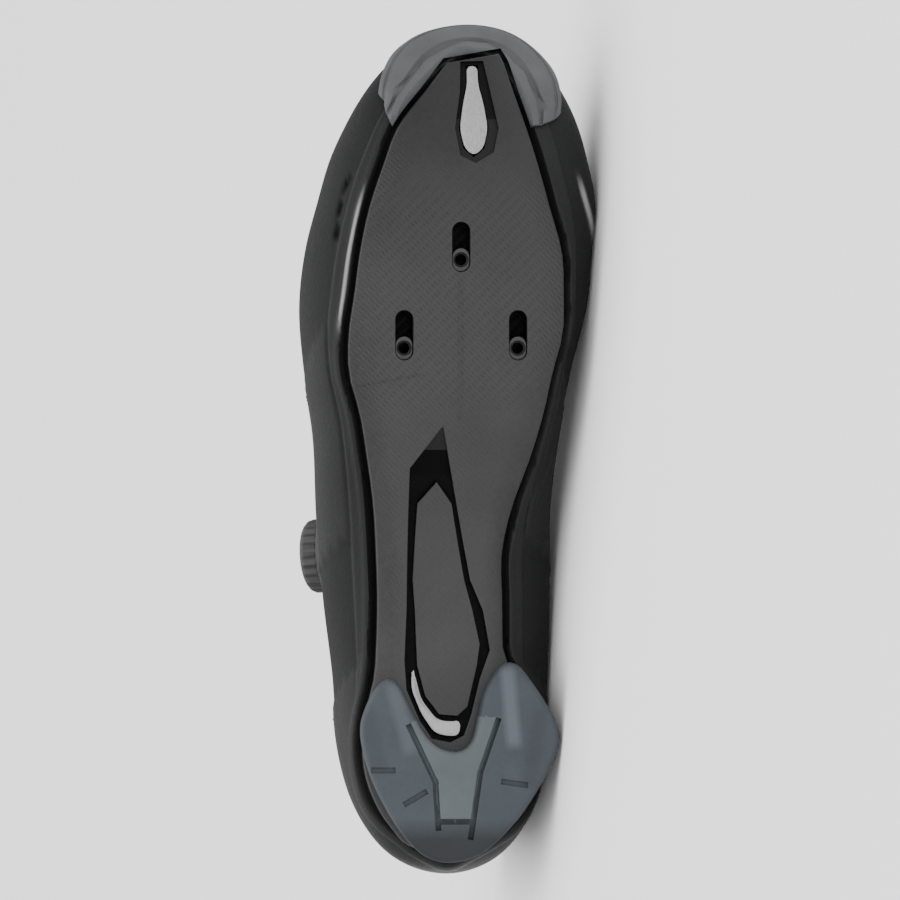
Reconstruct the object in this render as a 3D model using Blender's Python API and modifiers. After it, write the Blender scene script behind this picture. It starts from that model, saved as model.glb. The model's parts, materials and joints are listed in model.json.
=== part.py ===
"""Right road cycling shoe, lying on its medial side.

The shoe is modelled in its own frame: x from heel to toe, y towards the medial side, z up from the
ground that it would stand on. The empty at the end lays the whole shoe down on its medial side.
"""
import math

import bmesh
import bpy
import numpy as np
from mathutils import Matrix, Vector

# Driving sizes of the whole shoe, in metres
LENGTH = 0.2775           # heel to the tip of the toe bumper
BALL_WIDTH = 0.0967       # across the joint of the toes
COLLAR_HEIGHT = 0.088     # back of the collar above the ground
ARCH_HEIGHT = 0.0145      # underside of the plate under the arch
TOE_SPRING = 0.0215       # underside of the plate at the front of the toe
HEEL_STACK = 0.0085       # underside of the plate above the ground at the heel
GAP = 0.0003              # clearance between neighbours

# Upper
WALL = 0.0018
COLLAR_PADDING = 0.0045
OVERLAY_STEP = 0.0008     # eyestay and cuff stand proud by this much
FLANGE = 0.008            # lasting flange that lies on the plate
SOLE_MARGIN = 0.0015      # the upper starts this far inside the edge of the plate
FEATHER_SETBACK = 0.0028  # and this far behind the plate's nose
FEATHER_ROUND = 0.020     # reach of its round ends
FLANGE_BACK = 0.108       # the flange points at a line between these shares of LENGTH
FLANGE_FRONT = 0.847

# Sole plate
PLATE_THICK = 0.0055
PLATE_BEVEL = 0.0010
EDGE_ROLL = 0.0016        # the plate's long edges turn up by this much
RECESS_DEPTH = 0.0032
ISLAND_HEIGHT = 0.0022
TOE_POCKET_DEPTH = 0.0014
SLOT_LENGTH = 0.0165
SLOT_WIDTH = 0.0060
CLEAT_ALONG = 0.7387      # front slot, as a share of LENGTH
CLEAT_MEDIAL = 0.0030     # middle of the slots, from the shoe's middle line
CLEAT_SPREAD = 0.0373     # between the two rear slots
CLEAT_SETBACK = 0.0289    # rear slots behind the front slot
NUT_LENGTH = 0.0075
NUT_THICK = 0.0026
NUT_HOLE = 0.0042

# Rubber and vents
PAD_REAR_RISE = 0.0030    # the tread lifts towards both ends of the heel
PAD_FLAT_BACK = 0.0793    # flat part of the tread, as shares of LENGTH
PAD_FLAT_FRONT = 0.2018
PAD_GROOVE = 0.0016
PAD_GROOVE_DEPTH = 0.35   # as a share of the pad's thickness
BUMPER_THICK = 0.0022
VENT_THICK = 0.0018
BUMPER_FROM = 149.0       # lateral end of the bumper, in degrees round the shoe
BUMPER_TO = 216.0
BUMPER_TAPER = 0.55       # its upper edge comes down by this share at both ends
BUMPER_ROWS = [
    # level, share of the bumper's thickness
    (0.10, 0.50), (0.22, 0.50), (0.34, 0.50), (0.38, 0.75), (0.50, 0.75), (0.62, 0.75), (0.66, 1.00),
    (0.78, 1.00), (0.90, 1.00), (1.02, 0.90), (1.12, 0.70), (1.20, 0.45),
]

# Inside
INSOLE_THICK = 0.0030
INSOLE_COLUMNS = 56
TONGUE_THICK = 0.0040
TONGUE_FRONT = 0.634      # ends of the part under the throat, as shares of LENGTH
TONGUE_BACK = 0.393
TONGUE_STEPS = 9
TONGUE_TUCK = 0.26        # reach under the throat's edges, in levels of the upper
TONGUE_RISE = 0.026       # free top of the tongue above the collar's front
TONGUE_LEAN = 0.018
TONGUE_TOP = [
    # shares of the rise and the lean, and how wide the tongue still is
    (0.25, 0.25, 0.81), (0.45, 0.42, 0.81), (0.65, 0.60, 0.79), (0.84, 0.80, 0.72), (0.96, 0.95, 0.60),
    (1.00, 1.03, 0.44),
]

# Lace and dial
LACE_RADIUS = 0.0007
GUIDE_RADIUS = 0.0020
GUIDE_BORE = 0.0011
GUIDE_STEPS = 8
LACE_LIFT = GUIDE_RADIUS + 2 * GAP
BAR_SPACING = 0.0115
FIRST_BAR = 0.4072        # bar nearest the ankle, as a share of LENGTH
BAR_COUNT = 5
GUIDE_LEVEL = 1.94        # ends of a guide, and how far its bend dips, in levels of the upper
GUIDE_DIP = 0.10
ANCHOR_LEVEL = 1.88
ANCHOR_RADIUS = 0.0032
DIAL_PLACE = 0.3748       # centre of the dial, as a share of LENGTH
DIAL_LEVEL = 1.50         # how high on the side wall, from 1 at the widest line to 2 at the edge
DIAL_RADIUS = 0.0123
DIAL_HEIGHT = 0.0066
DIAL_BASE_RADIUS = 0.0150
DIAL_BASE_HEIGHT = 0.0024
DIAL_EDGE = 0.0012
DIAL_SUNK = 0.005         # the base is made this much too deep, then cut to the upper
DIAL_SIDES = 32
DIAL_RIBS = 24
DIAL_RIB_DEPTH = 0.0005

# Plan of the upper at its widest line. Shares of LENGTH, then of BALL_WIDTH from the middle line.
OUTLINE = [
    # along  lateral  medial
    (0.000, 0.000, 0.000),
    (0.028, 0.208, 0.198),
    (0.050, 0.262, 0.250),
    (0.092, 0.325, 0.305),
    (0.150, 0.367, 0.332),
    (0.235, 0.386, 0.348),
    (0.330, 0.417, 0.358),
    (0.430, 0.436, 0.354),
    (0.515, 0.450, 0.380),
    (0.600, 0.490, 0.425),
    (0.665, 0.504, 0.472),
    (0.735, 0.484, 0.492),
    (0.793, 0.442, 0.502),
    (0.840, 0.402, 0.478),
    (0.885, 0.342, 0.444),
    (0.925, 0.272, 0.392),
    (0.965, 0.165, 0.300),
    (0.985, 0.065, 0.205),
    (0.992, -0.072, 0.072),
]

# Edge of the sole plate, the same way
PLATE = [
    # along  lateral  medial
    (0.018, 0.020, 0.020),
    (0.030, 0.125, 0.115),
    (0.052, 0.195, 0.200),
    (0.090, 0.262, 0.285),
    (0.150, 0.297, 0.322),
    (0.195, 0.280, 0.285),
    (0.230, 0.255, 0.222),
    (0.270, 0.246, 0.182),
    (0.320, 0.242, 0.182),
    (0.375, 0.246, 0.180),
    (0.430, 0.256, 0.212),
    (0.490, 0.281, 0.272),
    (0.545, 0.310, 0.316),
    (0.587, 0.345, 0.340),
    (0.640, 0.347, 0.378),
    (0.680, 0.330, 0.380),
    (0.732, 0.310, 0.374),
    (0.785, 0.278, 0.333),
    (0.832, 0.232, 0.298),
    (0.885, 0.168, 0.254),
    (0.925, 0.076, 0.218),
    (0.962, -0.008, 0.184),
]
PLATE_NOSE = 0.973        # medial corner of the nose, along
PLATE_NOSE_MEDIAL = 0.172

# Underside of the plate, and the widest line above the plate as a share of COLLAR_HEIGHT
PROFILE = [
    # along  heel   arch   toe    widest
    (0.000, 1.00, 0.000, 0.000, 0.1477),
    (0.110, 1.00, 0.000, 0.000, 0.1705),
    (0.220, 0.60, 0.420, 0.000, 0.1761),
    (0.330, 0.18, 0.880, 0.000, 0.1761),
    (0.400, 0.05, 0.930, 0.000, 0.1761),
    (0.470, 0.00, 0.640, 0.000, 0.1818),
    (0.540, 0.00, 0.260, 0.000, 0.1875),
    (0.590, 0.00, 0.040, 0.000, 0.1932),
    (0.620, 0.00, 0.000, 0.000, 0.1932),
    (0.760, 0.00, 0.000, 0.000, 0.1818),
    (0.820, 0.00, 0.000, 0.090, 0.1648),
    (0.880, 0.00, 0.000, 0.360, 0.1364),
    (0.940, 0.00, 0.000, 0.740, 0.1080),
    (1.000, 0.00, 0.000, 1.080, 0.0909),
]

# Edge of the opening that belongs to each place on the outline. Heights are shares of
# COLLAR_HEIGHT, and fullness is 1 for a straight wall and 2 for an elliptic one.
OPENING = [
    # along  opens   lateral  medial  height  fullness
    (0.000, 0.028, 0.000, 0.000, 1.000, 1.45),
    (0.050, 0.048, 0.150, 0.150, 0.990, 1.38),
    (0.144, 0.130, 0.255, 0.250, 0.900, 1.22),
    (0.234, 0.215, 0.288, 0.280, 0.815, 1.22),
    (0.324, 0.300, 0.268, 0.258, 0.875, 1.35),
    (0.414, 0.385, 0.195, 0.190, 0.985, 1.55),
    (0.505, 0.475, 0.150, 0.150, 0.965, 1.72),
    (0.595, 0.545, 0.132, 0.132, 0.905, 1.80),
    (0.685, 0.597, 0.118, 0.118, 0.855, 1.84),
    (0.775, 0.630, 0.092, 0.092, 0.820, 1.86),
    (0.865, 0.650, 0.060, 0.060, 0.798, 1.90),
    (0.945, 0.659, 0.028, 0.030, 0.787, 1.94),
    (1.000, 0.662, -0.004, 0.004, 0.783, 1.96),
]

# Heel pad, toe pocket and arch recess, as shares of LENGTH along and of BALL_WIDTH across
PAD_OUTLINE = [
    (0.2328, -0.1965), (0.2227, -0.2482), (0.1975, -0.2875), (0.1694, -0.3123),
    (0.1240, -0.2854), (0.0890, -0.2420), (0.0512, -0.1779), (0.0281, -0.1220),
    (0.0151, -0.0662), (0.0115, 0.0000), (0.0180, 0.0827), (0.0368, 0.1551),
    (0.0613, 0.2192), (0.0890, 0.2771), (0.1225, 0.3330), (0.1441, 0.3599),
    (0.1622, 0.3692), (0.1838, 0.3495), (0.2090, 0.3061), (0.2306, 0.2637),
    (0.2486, 0.2234), (0.2486, 0.1758), (0.2162, 0.1117), (0.1802, 0.0910),
    (0.1550, 0.0745), (0.1423, 0.0310), (0.1449, -0.0310), (0.1596, -0.0879),
    (0.1946, -0.1396),
]
PAD_GROOVES = [
    # start, end
    ((0.1730, -0.1448), (0.1081, -0.0569)),
    ((0.1081, -0.0569), (0.0541, -0.0465)),
    ((0.1802, 0.1551), (0.1189, 0.0951)),
    ((0.1189, 0.0951), (0.0432, 0.0641)),
    ((0.0613, -0.0476), (0.0613, 0.0703)),
    ((0.1218, -0.2637), (0.1218, -0.2017)),
    ((0.0829, -0.1551), (0.0955, -0.0931)),
    ((0.1081, 0.1758), (0.1045, 0.2482)),
]
RECESS_OUTLINE = [
    (0.5283, -0.0269), (0.4775, -0.1375), (0.3099, -0.1448), (0.2505, -0.1531),
    (0.2162, -0.1468), (0.1802, -0.1034), (0.1586, -0.0620), (0.1542, 0.0000),
    (0.1622, 0.0465), (0.1874, 0.0724), (0.2306, 0.1034), (0.2631, 0.1375),
    (0.3099, 0.1148), (0.3459, 0.0714), (0.4685, 0.0052),
]
ISLAND_OUTLINE = [
    (0.4613, -0.0445), (0.4360, -0.1086), (0.3459, -0.1231), (0.3099, -0.1158),
    (0.2450, -0.1096), (0.2090, -0.0827), (0.1874, -0.0362), (0.1856, 0.0259),
    (0.1964, 0.0600), (0.2450, 0.0931), (0.2703, 0.1034), (0.3099, 0.0796),
    (0.3459, 0.0517), (0.4360, 0.0072),
]
HEEL_VENT_OUTLINE = [
    (0.2360, -0.1293), (0.2162, -0.1293), (0.1874, -0.0962), (0.1650, -0.0517),
    (0.1611, 0.0000), (0.1629, 0.0331), (0.1802, 0.0372), (0.1787, 0.0000),
    (0.1809, -0.0434), (0.2047, -0.0962), (0.2360, -0.1189),
]
TOE_POCKET_OUTLINE = [
    (0.9586, 0.0414), (0.9593, 0.1189), (0.9225, 0.1396), (0.8793, 0.1634),
    (0.8505, 0.1448), (0.8378, 0.0827), (0.8468, 0.0310), (0.8793, 0.0155),
    (0.9225, 0.0362),
]
TOE_VENT_OUTLINE = [
    (0.9532, 0.0620), (0.9532, 0.0993), (0.9315, 0.0993), (0.9081, 0.1158),
    (0.8793, 0.1272), (0.8559, 0.1117), (0.8461, 0.0765), (0.8559, 0.0455),
    (0.8793, 0.0321), (0.9081, 0.0455), (0.9315, 0.0620),
]

# Rings of the upper, from the flange (-1) over the plate's edge (0) and the widest line (1)
# to the edge of the opening (2)
LEVELS = [-1.0, 0.0, 0.3, 0.65, 1.0, 1.18, 1.36, 1.54, 1.70, 1.735, 1.87, 2.0]
OVERLAY_LEVEL = 1.735
COLUMNS = 72
PLATE_STEPS = 24
BEND_STEP = 0.0072        # the plate is cut across this often so that it can bend
NEAR_LEVEL = 0.03         # neighbours that a normal of the upper is taken from
NEAR_AROUND = 0.02
BEYOND = 4 * GAP          # cutters stick out by this much


def smooth(stations, values, at, level_ends=False):
    """Cubic through the rows of a table."""
    stations = np.asarray(stations, float)
    values = np.asarray(values, float)
    slopes = np.gradient(values, stations)
    flat = np.isclose(np.diff(values), 0.0)
    slopes[:-1][flat] = 0.0
    slopes[1:][flat] = 0.0
    if level_ends:
        slopes[0] = slopes[-1] = 0.0
    at = float(min(max(at, stations[0]), stations[-1]))
    i = int(min(max(np.searchsorted(stations, at) - 1, 0), len(stations) - 2))
    step = stations[i + 1] - stations[i]
    t = (at - stations[i]) / step
    start = (2 * t**3 - 3 * t**2 + 1) * values[i] + (t**3 - 2 * t**2 + t) * step * slopes[i]
    end = (3 * t**2 - 2 * t**3) * values[i + 1] + (t**3 - t**2) * step * slopes[i + 1]
    return float(start + end)


def turn_of(share):
    """Angle round the shoe that a share of its length stands for, 0 at the heel and pi at the toe."""
    return math.acos(max(-1.0, min(1.0, 1.0 - 2.0 * share)))


OUTLINE_END = OUTLINE[-1][0]
OUTLINE_TURNS = [turn_of(row[0] / OUTLINE_END) for row in OUTLINE]
OPENING_TURNS = [turn_of(row[0]) for row in OPENING]
PROFILE_ALONG = [row[0] * LENGTH for row in PROFILE]
PLATE_ALONG = [row[0] * LENGTH for row in PLATE]


def plate_under(x):
    """Height of the plate's underside along the middle of the shoe."""
    values = [HEEL_STACK * row[1] + ARCH_HEIGHT * row[2] + TOE_SPRING * row[3] for row in PROFILE]
    return smooth(PROFILE_ALONG, values, x, True)


def plate_side(x, side):
    """Distance of the plate's edge from the middle line."""
    column = 1 if side < 0 else 2
    return BALL_WIDTH * smooth(PLATE_ALONG, [row[column] for row in PLATE], x)


def edge_roll(x, y):
    """Extra height of the plate's underside near its long edges."""
    reach = abs(y) / max(plate_side(x, math.copysign(1.0, y)), PLATE_THICK)
    return EDGE_ROLL * max(0.0, min(reach, 1.0) - 0.72) ** 2 / 0.28**2


def round_end(x, low, high, reach):
    """Narrows a strip to a round end at both limits."""
    near = min(x - low, high - x)
    if near >= reach:
        return 1.0
    return math.sqrt(max(0.0, 1.0 - ((reach - near) / reach) ** 2))


def feather(side, turn):
    """Line where the upper meets the plate, a little inside the plate's edge."""
    low = PLATE[0][0] * LENGTH + SOLE_MARGIN
    high = PLATE_NOSE * LENGTH - FEATHER_SETBACK
    x = low + (high - low) * 0.5 * (1.0 - math.cos(turn))
    lateral = -(plate_side(x, -1) - SOLE_MARGIN)
    medial = plate_side(x, 1) - SOLE_MARGIN
    middle = 0.5 * (lateral + medial)
    half = 0.5 * (medial - lateral) * round_end(x, low, high, FEATHER_ROUND)
    y = middle + side * half
    return Vector((x, y, plate_under(x) + PLATE_THICK + GAP))


def outline(side, turn):
    """Widest line of the upper."""
    x = LENGTH * OUTLINE_END * 0.5 * (1.0 - math.cos(turn))
    column = 1 if side < 0 else 2
    y = side * BALL_WIDTH * smooth(OUTLINE_TURNS, [row[column] for row in OUTLINE], turn)
    rise = smooth(PROFILE_ALONG, [row[4] for row in PROFILE], x, True)
    return Vector((x, y, plate_under(x) + PLATE_THICK + COLLAR_HEIGHT * rise))


def opening(side, turn):
    """Edge of the throat and the collar."""
    column = 2 if side < 0 else 3
    x = LENGTH * smooth(OPENING_TURNS, [row[1] for row in OPENING], turn, True)
    y = side * BALL_WIDTH * smooth(OPENING_TURNS, [row[column] for row in OPENING], turn)
    z = COLLAR_HEIGHT * smooth(OPENING_TURNS, [row[4] for row in OPENING], turn, True)
    return Vector((x, y, z))


def upper_base(around, level):
    """Point of the bare outer face. Around goes 0 to pi on the lateral side and on to 2 pi."""
    around = around % (2.0 * math.pi)
    side, turn = (-1.0, around) if around <= math.pi else (1.0, 2.0 * math.pi - around)
    low = feather(side, turn)
    if level < 0.0:
        middle = Vector((min(max(low.x, FLANGE_BACK * LENGTH), FLANGE_FRONT * LENGTH), 0.0, low.z))
        inward = (middle - low).normalized()
        reached = low + inward * FLANGE * -level
        reached.z = plate_under(reached.x) + PLATE_THICK + GAP
        return reached
    wide = outline(side, turn)
    if level <= 1.0:
        angle = 0.5 * math.pi * level
        across = math.sin(angle) ** 1.2
        up = 1.0 - math.cos(angle) ** 1.2
        start, end = low, wide
    else:
        fullness = smooth(OPENING_TURNS, [row[5] for row in OPENING], turn, True)
        angle = 0.5 * math.pi * (level - 1.0)
        across = 1.0 - max(math.cos(angle), 0.0) ** (2.0 / fullness)
        up = math.sin(angle) ** (2.0 / fullness)
        start, end = wide, opening(side, turn)
    x = start.x + (end.x - start.x) * across
    y = start.y + (end.y - start.y) * across
    return Vector((x, y, start.z + (end.z - start.z) * up))


def upper_normal(around, level):
    """Outward direction of the upper's face."""
    low, high = max(level - NEAR_LEVEL, 0.0), min(level + NEAR_LEVEL, LEVELS[-1])
    along = upper_base(around + NEAR_AROUND, level) - upper_base(around - NEAR_AROUND, level)
    rise = upper_base(around, high) - upper_base(around, low)
    return along.cross(rise).normalized()


def upper_skin(around, level, out=0.0):
    """Outer face of the upper with its overlay step, moved outwards by a distance."""
    if level < 0.0:
        return upper_base(around, level) + Vector((0.0, 0.0, -out))
    raised = OVERLAY_STEP if level >= OVERLAY_LEVEL else 0.0
    return upper_base(around, level) + upper_normal(around, level) * (out + raised)


def start_scene():
    for old in list(bpy.data.objects):
        bpy.data.objects.remove(old, do_unlink=True)
    pieces = bpy.data.collections.new("cycling_shoe")
    tools = bpy.data.collections.new("cutters")
    bpy.context.scene.collection.children.link(pieces)
    bpy.context.scene.collection.children.link(tools)
    return pieces, tools


PIECES, CUTTERS = start_scene()


def finish(name, colour, roughness, metallic=0.0):
    material = bpy.data.materials.new(name)
    material.use_nodes = True
    shader = material.node_tree.nodes["Principled BSDF"]
    shader.inputs["Base Color"].default_value = (*colour, 1.0)
    shader.inputs["Roughness"].default_value = roughness
    shader.inputs["Metallic"].default_value = metallic
    return material


UPPER_BLACK = finish("upper_black", (0.020, 0.021, 0.023), 0.55)
LINING_BLACK = finish("lining_black", (0.030, 0.030, 0.032), 0.90)
PLATE_GREY = finish("plate_grey", (0.075, 0.075, 0.078), 0.42)
PAD_RUBBER = finish("pad_rubber", (0.110, 0.140, 0.150), 0.80)
BUMPER_RUBBER = finish("bumper_rubber", (0.160, 0.165, 0.170), 0.75)
VENT_SILVER = finish("vent_silver", (0.600, 0.600, 0.590), 0.35, 0.60)
NUT_STEEL = finish("nut_steel", (0.300, 0.300, 0.300), 0.40, 1.0)
DIAL_BLACK = finish("dial_black", (0.025, 0.025, 0.027), 0.40)
LACE_GREY = finish("lace_grey", (0.120, 0.120, 0.125), 0.50)


def place(name, mesh, material=None):
    """Links a mesh as a piece, or as a cutter where it has no material."""
    body = bpy.data.objects.new(name, mesh)
    if material:
        mesh.materials.append(material)
        PIECES.objects.link(body)
    else:
        CUTTERS.objects.link(body)
        body.hide_render = True
        body.display_type = "WIRE"
    return body


def as_mesh(body, name):
    """Mesh of an object with its curve or modifiers worked out."""
    bpy.context.view_layer.update()
    evaluated = body.evaluated_get(bpy.context.evaluated_depsgraph_get())
    mesh = bpy.data.meshes.new_from_object(evaluated)
    mesh.transform(body.matrix_world)
    mesh.name = name
    bm = bmesh.new()
    bm.from_mesh(mesh)
    bmesh.ops.remove_doubles(bm, verts=bm.verts, dist=1e-6)
    bmesh.ops.recalc_face_normals(bm, faces=bm.faces)
    bm.to_mesh(mesh)
    bm.free()
    return mesh


def from_curve(name, curve, height=0.0):
    """Turns a curve into a closed mesh and removes the curve."""
    holder = bpy.data.objects.new(name + "_curve", curve)
    holder.location.z = height
    PIECES.objects.link(holder)
    mesh = as_mesh(holder, name)
    bpy.data.objects.remove(holder, do_unlink=True)
    return mesh


def slab(name, points, low, high):
    """Flat outline with straight sides between two heights."""
    curve = bpy.data.curves.new(name, "CURVE")
    curve.dimensions = "2D"
    curve.fill_mode = "BOTH"
    curve.extrude = 0.5 * (high - low)
    line = curve.splines.new("POLY")
    line.points.add(len(points) - 1)
    for knot, (x, y) in zip(line.points, points):
        knot.co = (x, y, 0.0, 1.0)
    line.use_cyclic_u = True
    return from_curve(name, curve, 0.5 * (low + high))


def tube(name, points, radius, resolution=1):
    """Round tube with filled ends along a line of points."""
    curve = bpy.data.curves.new(name, "CURVE")
    curve.dimensions = "3D"
    curve.bevel_depth = radius
    curve.bevel_resolution = resolution
    curve.use_fill_caps = True
    line = curve.splines.new("POLY")
    line.points.add(len(points) - 1)
    for knot, point in zip(line.points, points):
        knot.co = (*point, 1.0)
    return from_curve(name, curve)


def disc(name, radius, height, foot, direction, segments, material=None):
    """Cylinder standing on a point along a direction."""
    bm = bmesh.new()
    bmesh.ops.create_cone(bm, cap_ends=True, segments=segments, radius1=radius, radius2=radius,
                          depth=height, matrix=Matrix.Translation((0.0, 0.0, 0.5 * height)))
    mesh = bpy.data.meshes.new(name)
    bm.to_mesh(mesh)
    bm.free()
    body = place(name, mesh, material)
    body.location = foot
    body.rotation_euler = direction.to_track_quat("Z", "Y").to_euler()
    return body


def grown(points, distance):
    """Outline moved outwards by a distance, or inwards where it is negative."""
    area = sum(a[0] * b[1] - b[0] * a[1] for a, b in zip(points, points[1:] + points[:1]))
    sign = 1.0 if area > 0.0 else -1.0
    moved = []
    for i, here in enumerate(points):
        before, after = points[i - 1], points[(i + 1) % len(points)]
        first = Vector((here[0] - before[0], here[1] - before[1])).normalized()
        second = Vector((after[0] - here[0], after[1] - here[1])).normalized()
        out = Vector((first.y + second.y, -first.x - second.x)).normalized() * sign
        spread = max(abs(out.dot(Vector((second.y, -second.x)))), 0.5)
        moved.append((here[0] + out.x * distance / spread, here[1] + out.y * distance / spread))
    return moved


def capsule(middle, length, width, steps=6):
    """Long hole with round ends that runs along the shoe."""
    points = []
    for side in (1.0, -1.0):
        for k in range(steps + 1):
            angle = (k / steps - 0.5 * side) * math.pi
            reach = side * 0.5 * (length - width)
            points.append((middle[0] + reach + 0.5 * width * math.cos(angle),
                           middle[1] + 0.5 * width * math.sin(angle)))
    return points


def grid(name, rows, closed=False):
    """Open surface through rows of points."""
    bm = bmesh.new()
    rings = [[bm.verts.new(point) for point in row] for row in rows]
    for low, high in zip(rings, rings[1:]):
        for i in range(len(low) if closed else len(low) - 1):
            j = (i + 1) % len(low)
            bm.faces.new((low[i], low[j], high[j], high[i]))
    mesh = bpy.data.meshes.new(name)
    bm.to_mesh(mesh)
    bm.free()
    return mesh


def wall(body, thick, thin=None, weights=None, outwards=False, even=True):
    """Gives a surface its wall, thinner where the weight of a point is below 1."""
    solid = body.modifiers.new("wall", "SOLIDIFY")
    solid.thickness = thick
    solid.offset = 1.0 if outwards else -1.0
    solid.use_even_offset = even
    if weights is not None:
        group = body.vertex_groups.new(name="thickness")
        for index, weight in enumerate(weights):
            group.add([index], weight, "REPLACE")
        solid.vertex_group = group.name
        solid.thickness_vertex_group = thin / thick


def combine(body, cutter, operation):
    cut = body.modifiers.new(operation.lower(), "BOOLEAN")
    cut.operation = operation
    cut.solver = "EXACT"
    cut.object = cutter


def settle(body):
    """Works out the modifiers of an object and keeps the result as its mesh."""
    mesh = as_mesh(body, body.name)
    material = body.data.materials[0]
    body.modifiers.clear()
    body.data = mesh
    mesh.materials.clear()
    mesh.materials.append(material)


def bevel_under(mesh, low, width):
    """Rounds the lower outline of a slab."""
    bm = bmesh.new()
    bm.from_mesh(mesh)
    bmesh.ops.dissolve_limit(bm, angle_limit=0.001, verts=bm.verts, edges=bm.edges)
    edges = [e for e in bm.edges if all(abs(v.co.z - low) < 1e-6 for v in e.verts)]
    bmesh.ops.bevel(bm, geom=edges, offset=width, segments=1, profile=0.5, affect="EDGES")
    bm.to_mesh(mesh)
    bm.free()


def bend(mesh, across, along, move):
    """Cuts a flat piece by planes across and along the shoe, then moves each point."""
    bm = bmesh.new()
    bm.from_mesh(mesh)
    planes = [((x, 0.0, 0.0), (1.0, 0.0, 0.0)) for x in across]
    planes += [((0.0, y, 0.0), (0.0, 1.0, 0.0)) for y in along]
    for point, direction in planes:
        geometry = list(bm.verts) + list(bm.edges) + list(bm.faces)
        bmesh.ops.bisect_plane(bm, geom=geometry, plane_co=point, plane_no=direction, dist=2e-5)
    bmesh.ops.triangulate(bm, faces=bm.faces)
    bmesh.ops.dissolve_degenerate(bm, dist=5e-6, edges=bm.edges)
    for vertex in bm.verts:
        vertex.co = move(vertex.co)
    bm.to_mesh(mesh)
    bm.free()


def steps_between(low, high, step):
    count = max(1, round((high - low) / step))
    return [low + (high - low) * k / count for k in range(1, count)]


def in_plan(table):
    """Outline in metres from its shares of the length and the ball width."""
    return [(along * LENGTH, across * BALL_WIDTH) for along, across in table]


def plate_edge():
    """Outline of the sole plate, from the heel up the lateral side and back down the medial side."""
    low, high = PLATE[0][0] * LENGTH, PLATE[-1][0] * LENGTH
    places = [low + (high - low) * 0.5 * (1.0 - math.cos(math.pi * k / PLATE_STEPS))
              for k in range(PLATE_STEPS + 1)]
    lateral = [(x, -plate_side(x, -1)) for x in places]
    medial = [(x, plate_side(x, 1)) for x in reversed(places)]
    return lateral + [(PLATE_NOSE * LENGTH, PLATE_NOSE_MEDIAL * BALL_WIDTH)] + medial


ACROSS_WHOLE = steps_between(0.0, LENGTH, BEND_STEP)
ROLL_CUTS = (0.17, 0.24, 0.30, 0.35)
ALONG_PLATE = [side * BALL_WIDTH * share for side in (-1.0, 1.0) for share in ROLL_CUTS]


def on_plate(point, lift=0.0):
    """Bends a flat piece to the run of the plate, whose underside turns up at its edges."""
    roll = edge_roll(point.x, point.y) * max(0.0, 1.0 - point.z / PLATE_THICK) if lift == 0.0 else 0.0
    return Vector((point.x, point.y, point.z + roll + plate_under(point.x) + lift))


def cleat_slots():
    front = CLEAT_ALONG * LENGTH
    rear = front - CLEAT_SETBACK
    return {
        "front": (front, CLEAT_MEDIAL),
        "lateral": (rear, CLEAT_MEDIAL - 0.5 * CLEAT_SPREAD),
        "medial": (rear, CLEAT_MEDIAL + 0.5 * CLEAT_SPREAD),
    }


def recess_cutter():
    """Arch recess with a floor that slopes up to its front point."""
    points = in_plan(RECESS_OUTLINE)
    mesh = slab("recess", points, -BEYOND, RECESS_DEPTH)
    ramp = points[-1][0] + GAP
    bm = bmesh.new()
    bm.from_mesh(mesh)
    geometry = list(bm.verts) + list(bm.edges) + list(bm.faces)
    bmesh.ops.bisect_plane(bm, geom=geometry, plane_co=(ramp, 0.0, 0.0), plane_no=(1.0, 0.0, 0.0))
    bmesh.ops.triangulate(bm, faces=bm.faces)
    reach = points[0][0] - ramp
    for vertex in bm.verts:
        if vertex.co.z > 0.0 and vertex.co.x > ramp:
            vertex.co.z = RECESS_DEPTH - (RECESS_DEPTH - GAP) * (vertex.co.x - ramp) / reach
    bm.to_mesh(mesh)
    bm.free()
    return place("recess_cutter", mesh)


def make_plate():
    mesh = slab("sole_plate", plate_edge(), 0.0, PLATE_THICK)
    bevel_under(mesh, 0.0, PLATE_BEVEL)
    plate = place("sole_plate", mesh, PLATE_GREY)
    combine(plate, recess_cutter(), "DIFFERENCE")
    island = slab("island", in_plan(ISLAND_OUTLINE), RECESS_DEPTH - ISLAND_HEIGHT, RECESS_DEPTH + BEYOND)
    combine(plate, place("island_joined", island), "UNION")
    pocket = slab("pocket", in_plan(TOE_POCKET_OUTLINE), -BEYOND, TOE_POCKET_DEPTH)
    combine(plate, place("toe_pocket_cutter", pocket), "DIFFERENCE")
    hole = slab("vent_hole", grown(in_plan(TOE_VENT_OUTLINE), GAP), -BEYOND, 2 * PLATE_THICK)
    combine(plate, place("toe_vent_cutter", hole), "DIFFERENCE")
    for key, middle in cleat_slots().items():
        slot = slab("slot_" + key, capsule(middle, SLOT_LENGTH, SLOT_WIDTH), -BEYOND, 2 * PLATE_THICK)
        combine(plate, place("slot_cutter_" + key, slot), "DIFFERENCE")
    settle(plate)
    bend(plate.data, ACROSS_WHOLE, ALONG_PLATE, on_plate)


def make_vents():
    low = TOE_POCKET_DEPTH - 0.5 * VENT_THICK
    toe = place("toe_vent", slab("toe_vent", in_plan(TOE_VENT_OUTLINE), low, low + VENT_THICK), VENT_SILVER)
    bend(toe.data, ACROSS_WHOLE, [], on_plate)
    high = RECESS_DEPTH - GAP
    heel = slab("heel_vent", in_plan(HEEL_VENT_OUTLINE), high - VENT_THICK, high)
    bend(place("heel_vent", heel, VENT_SILVER).data, ACROSS_WHOLE, [], on_plate)


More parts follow.
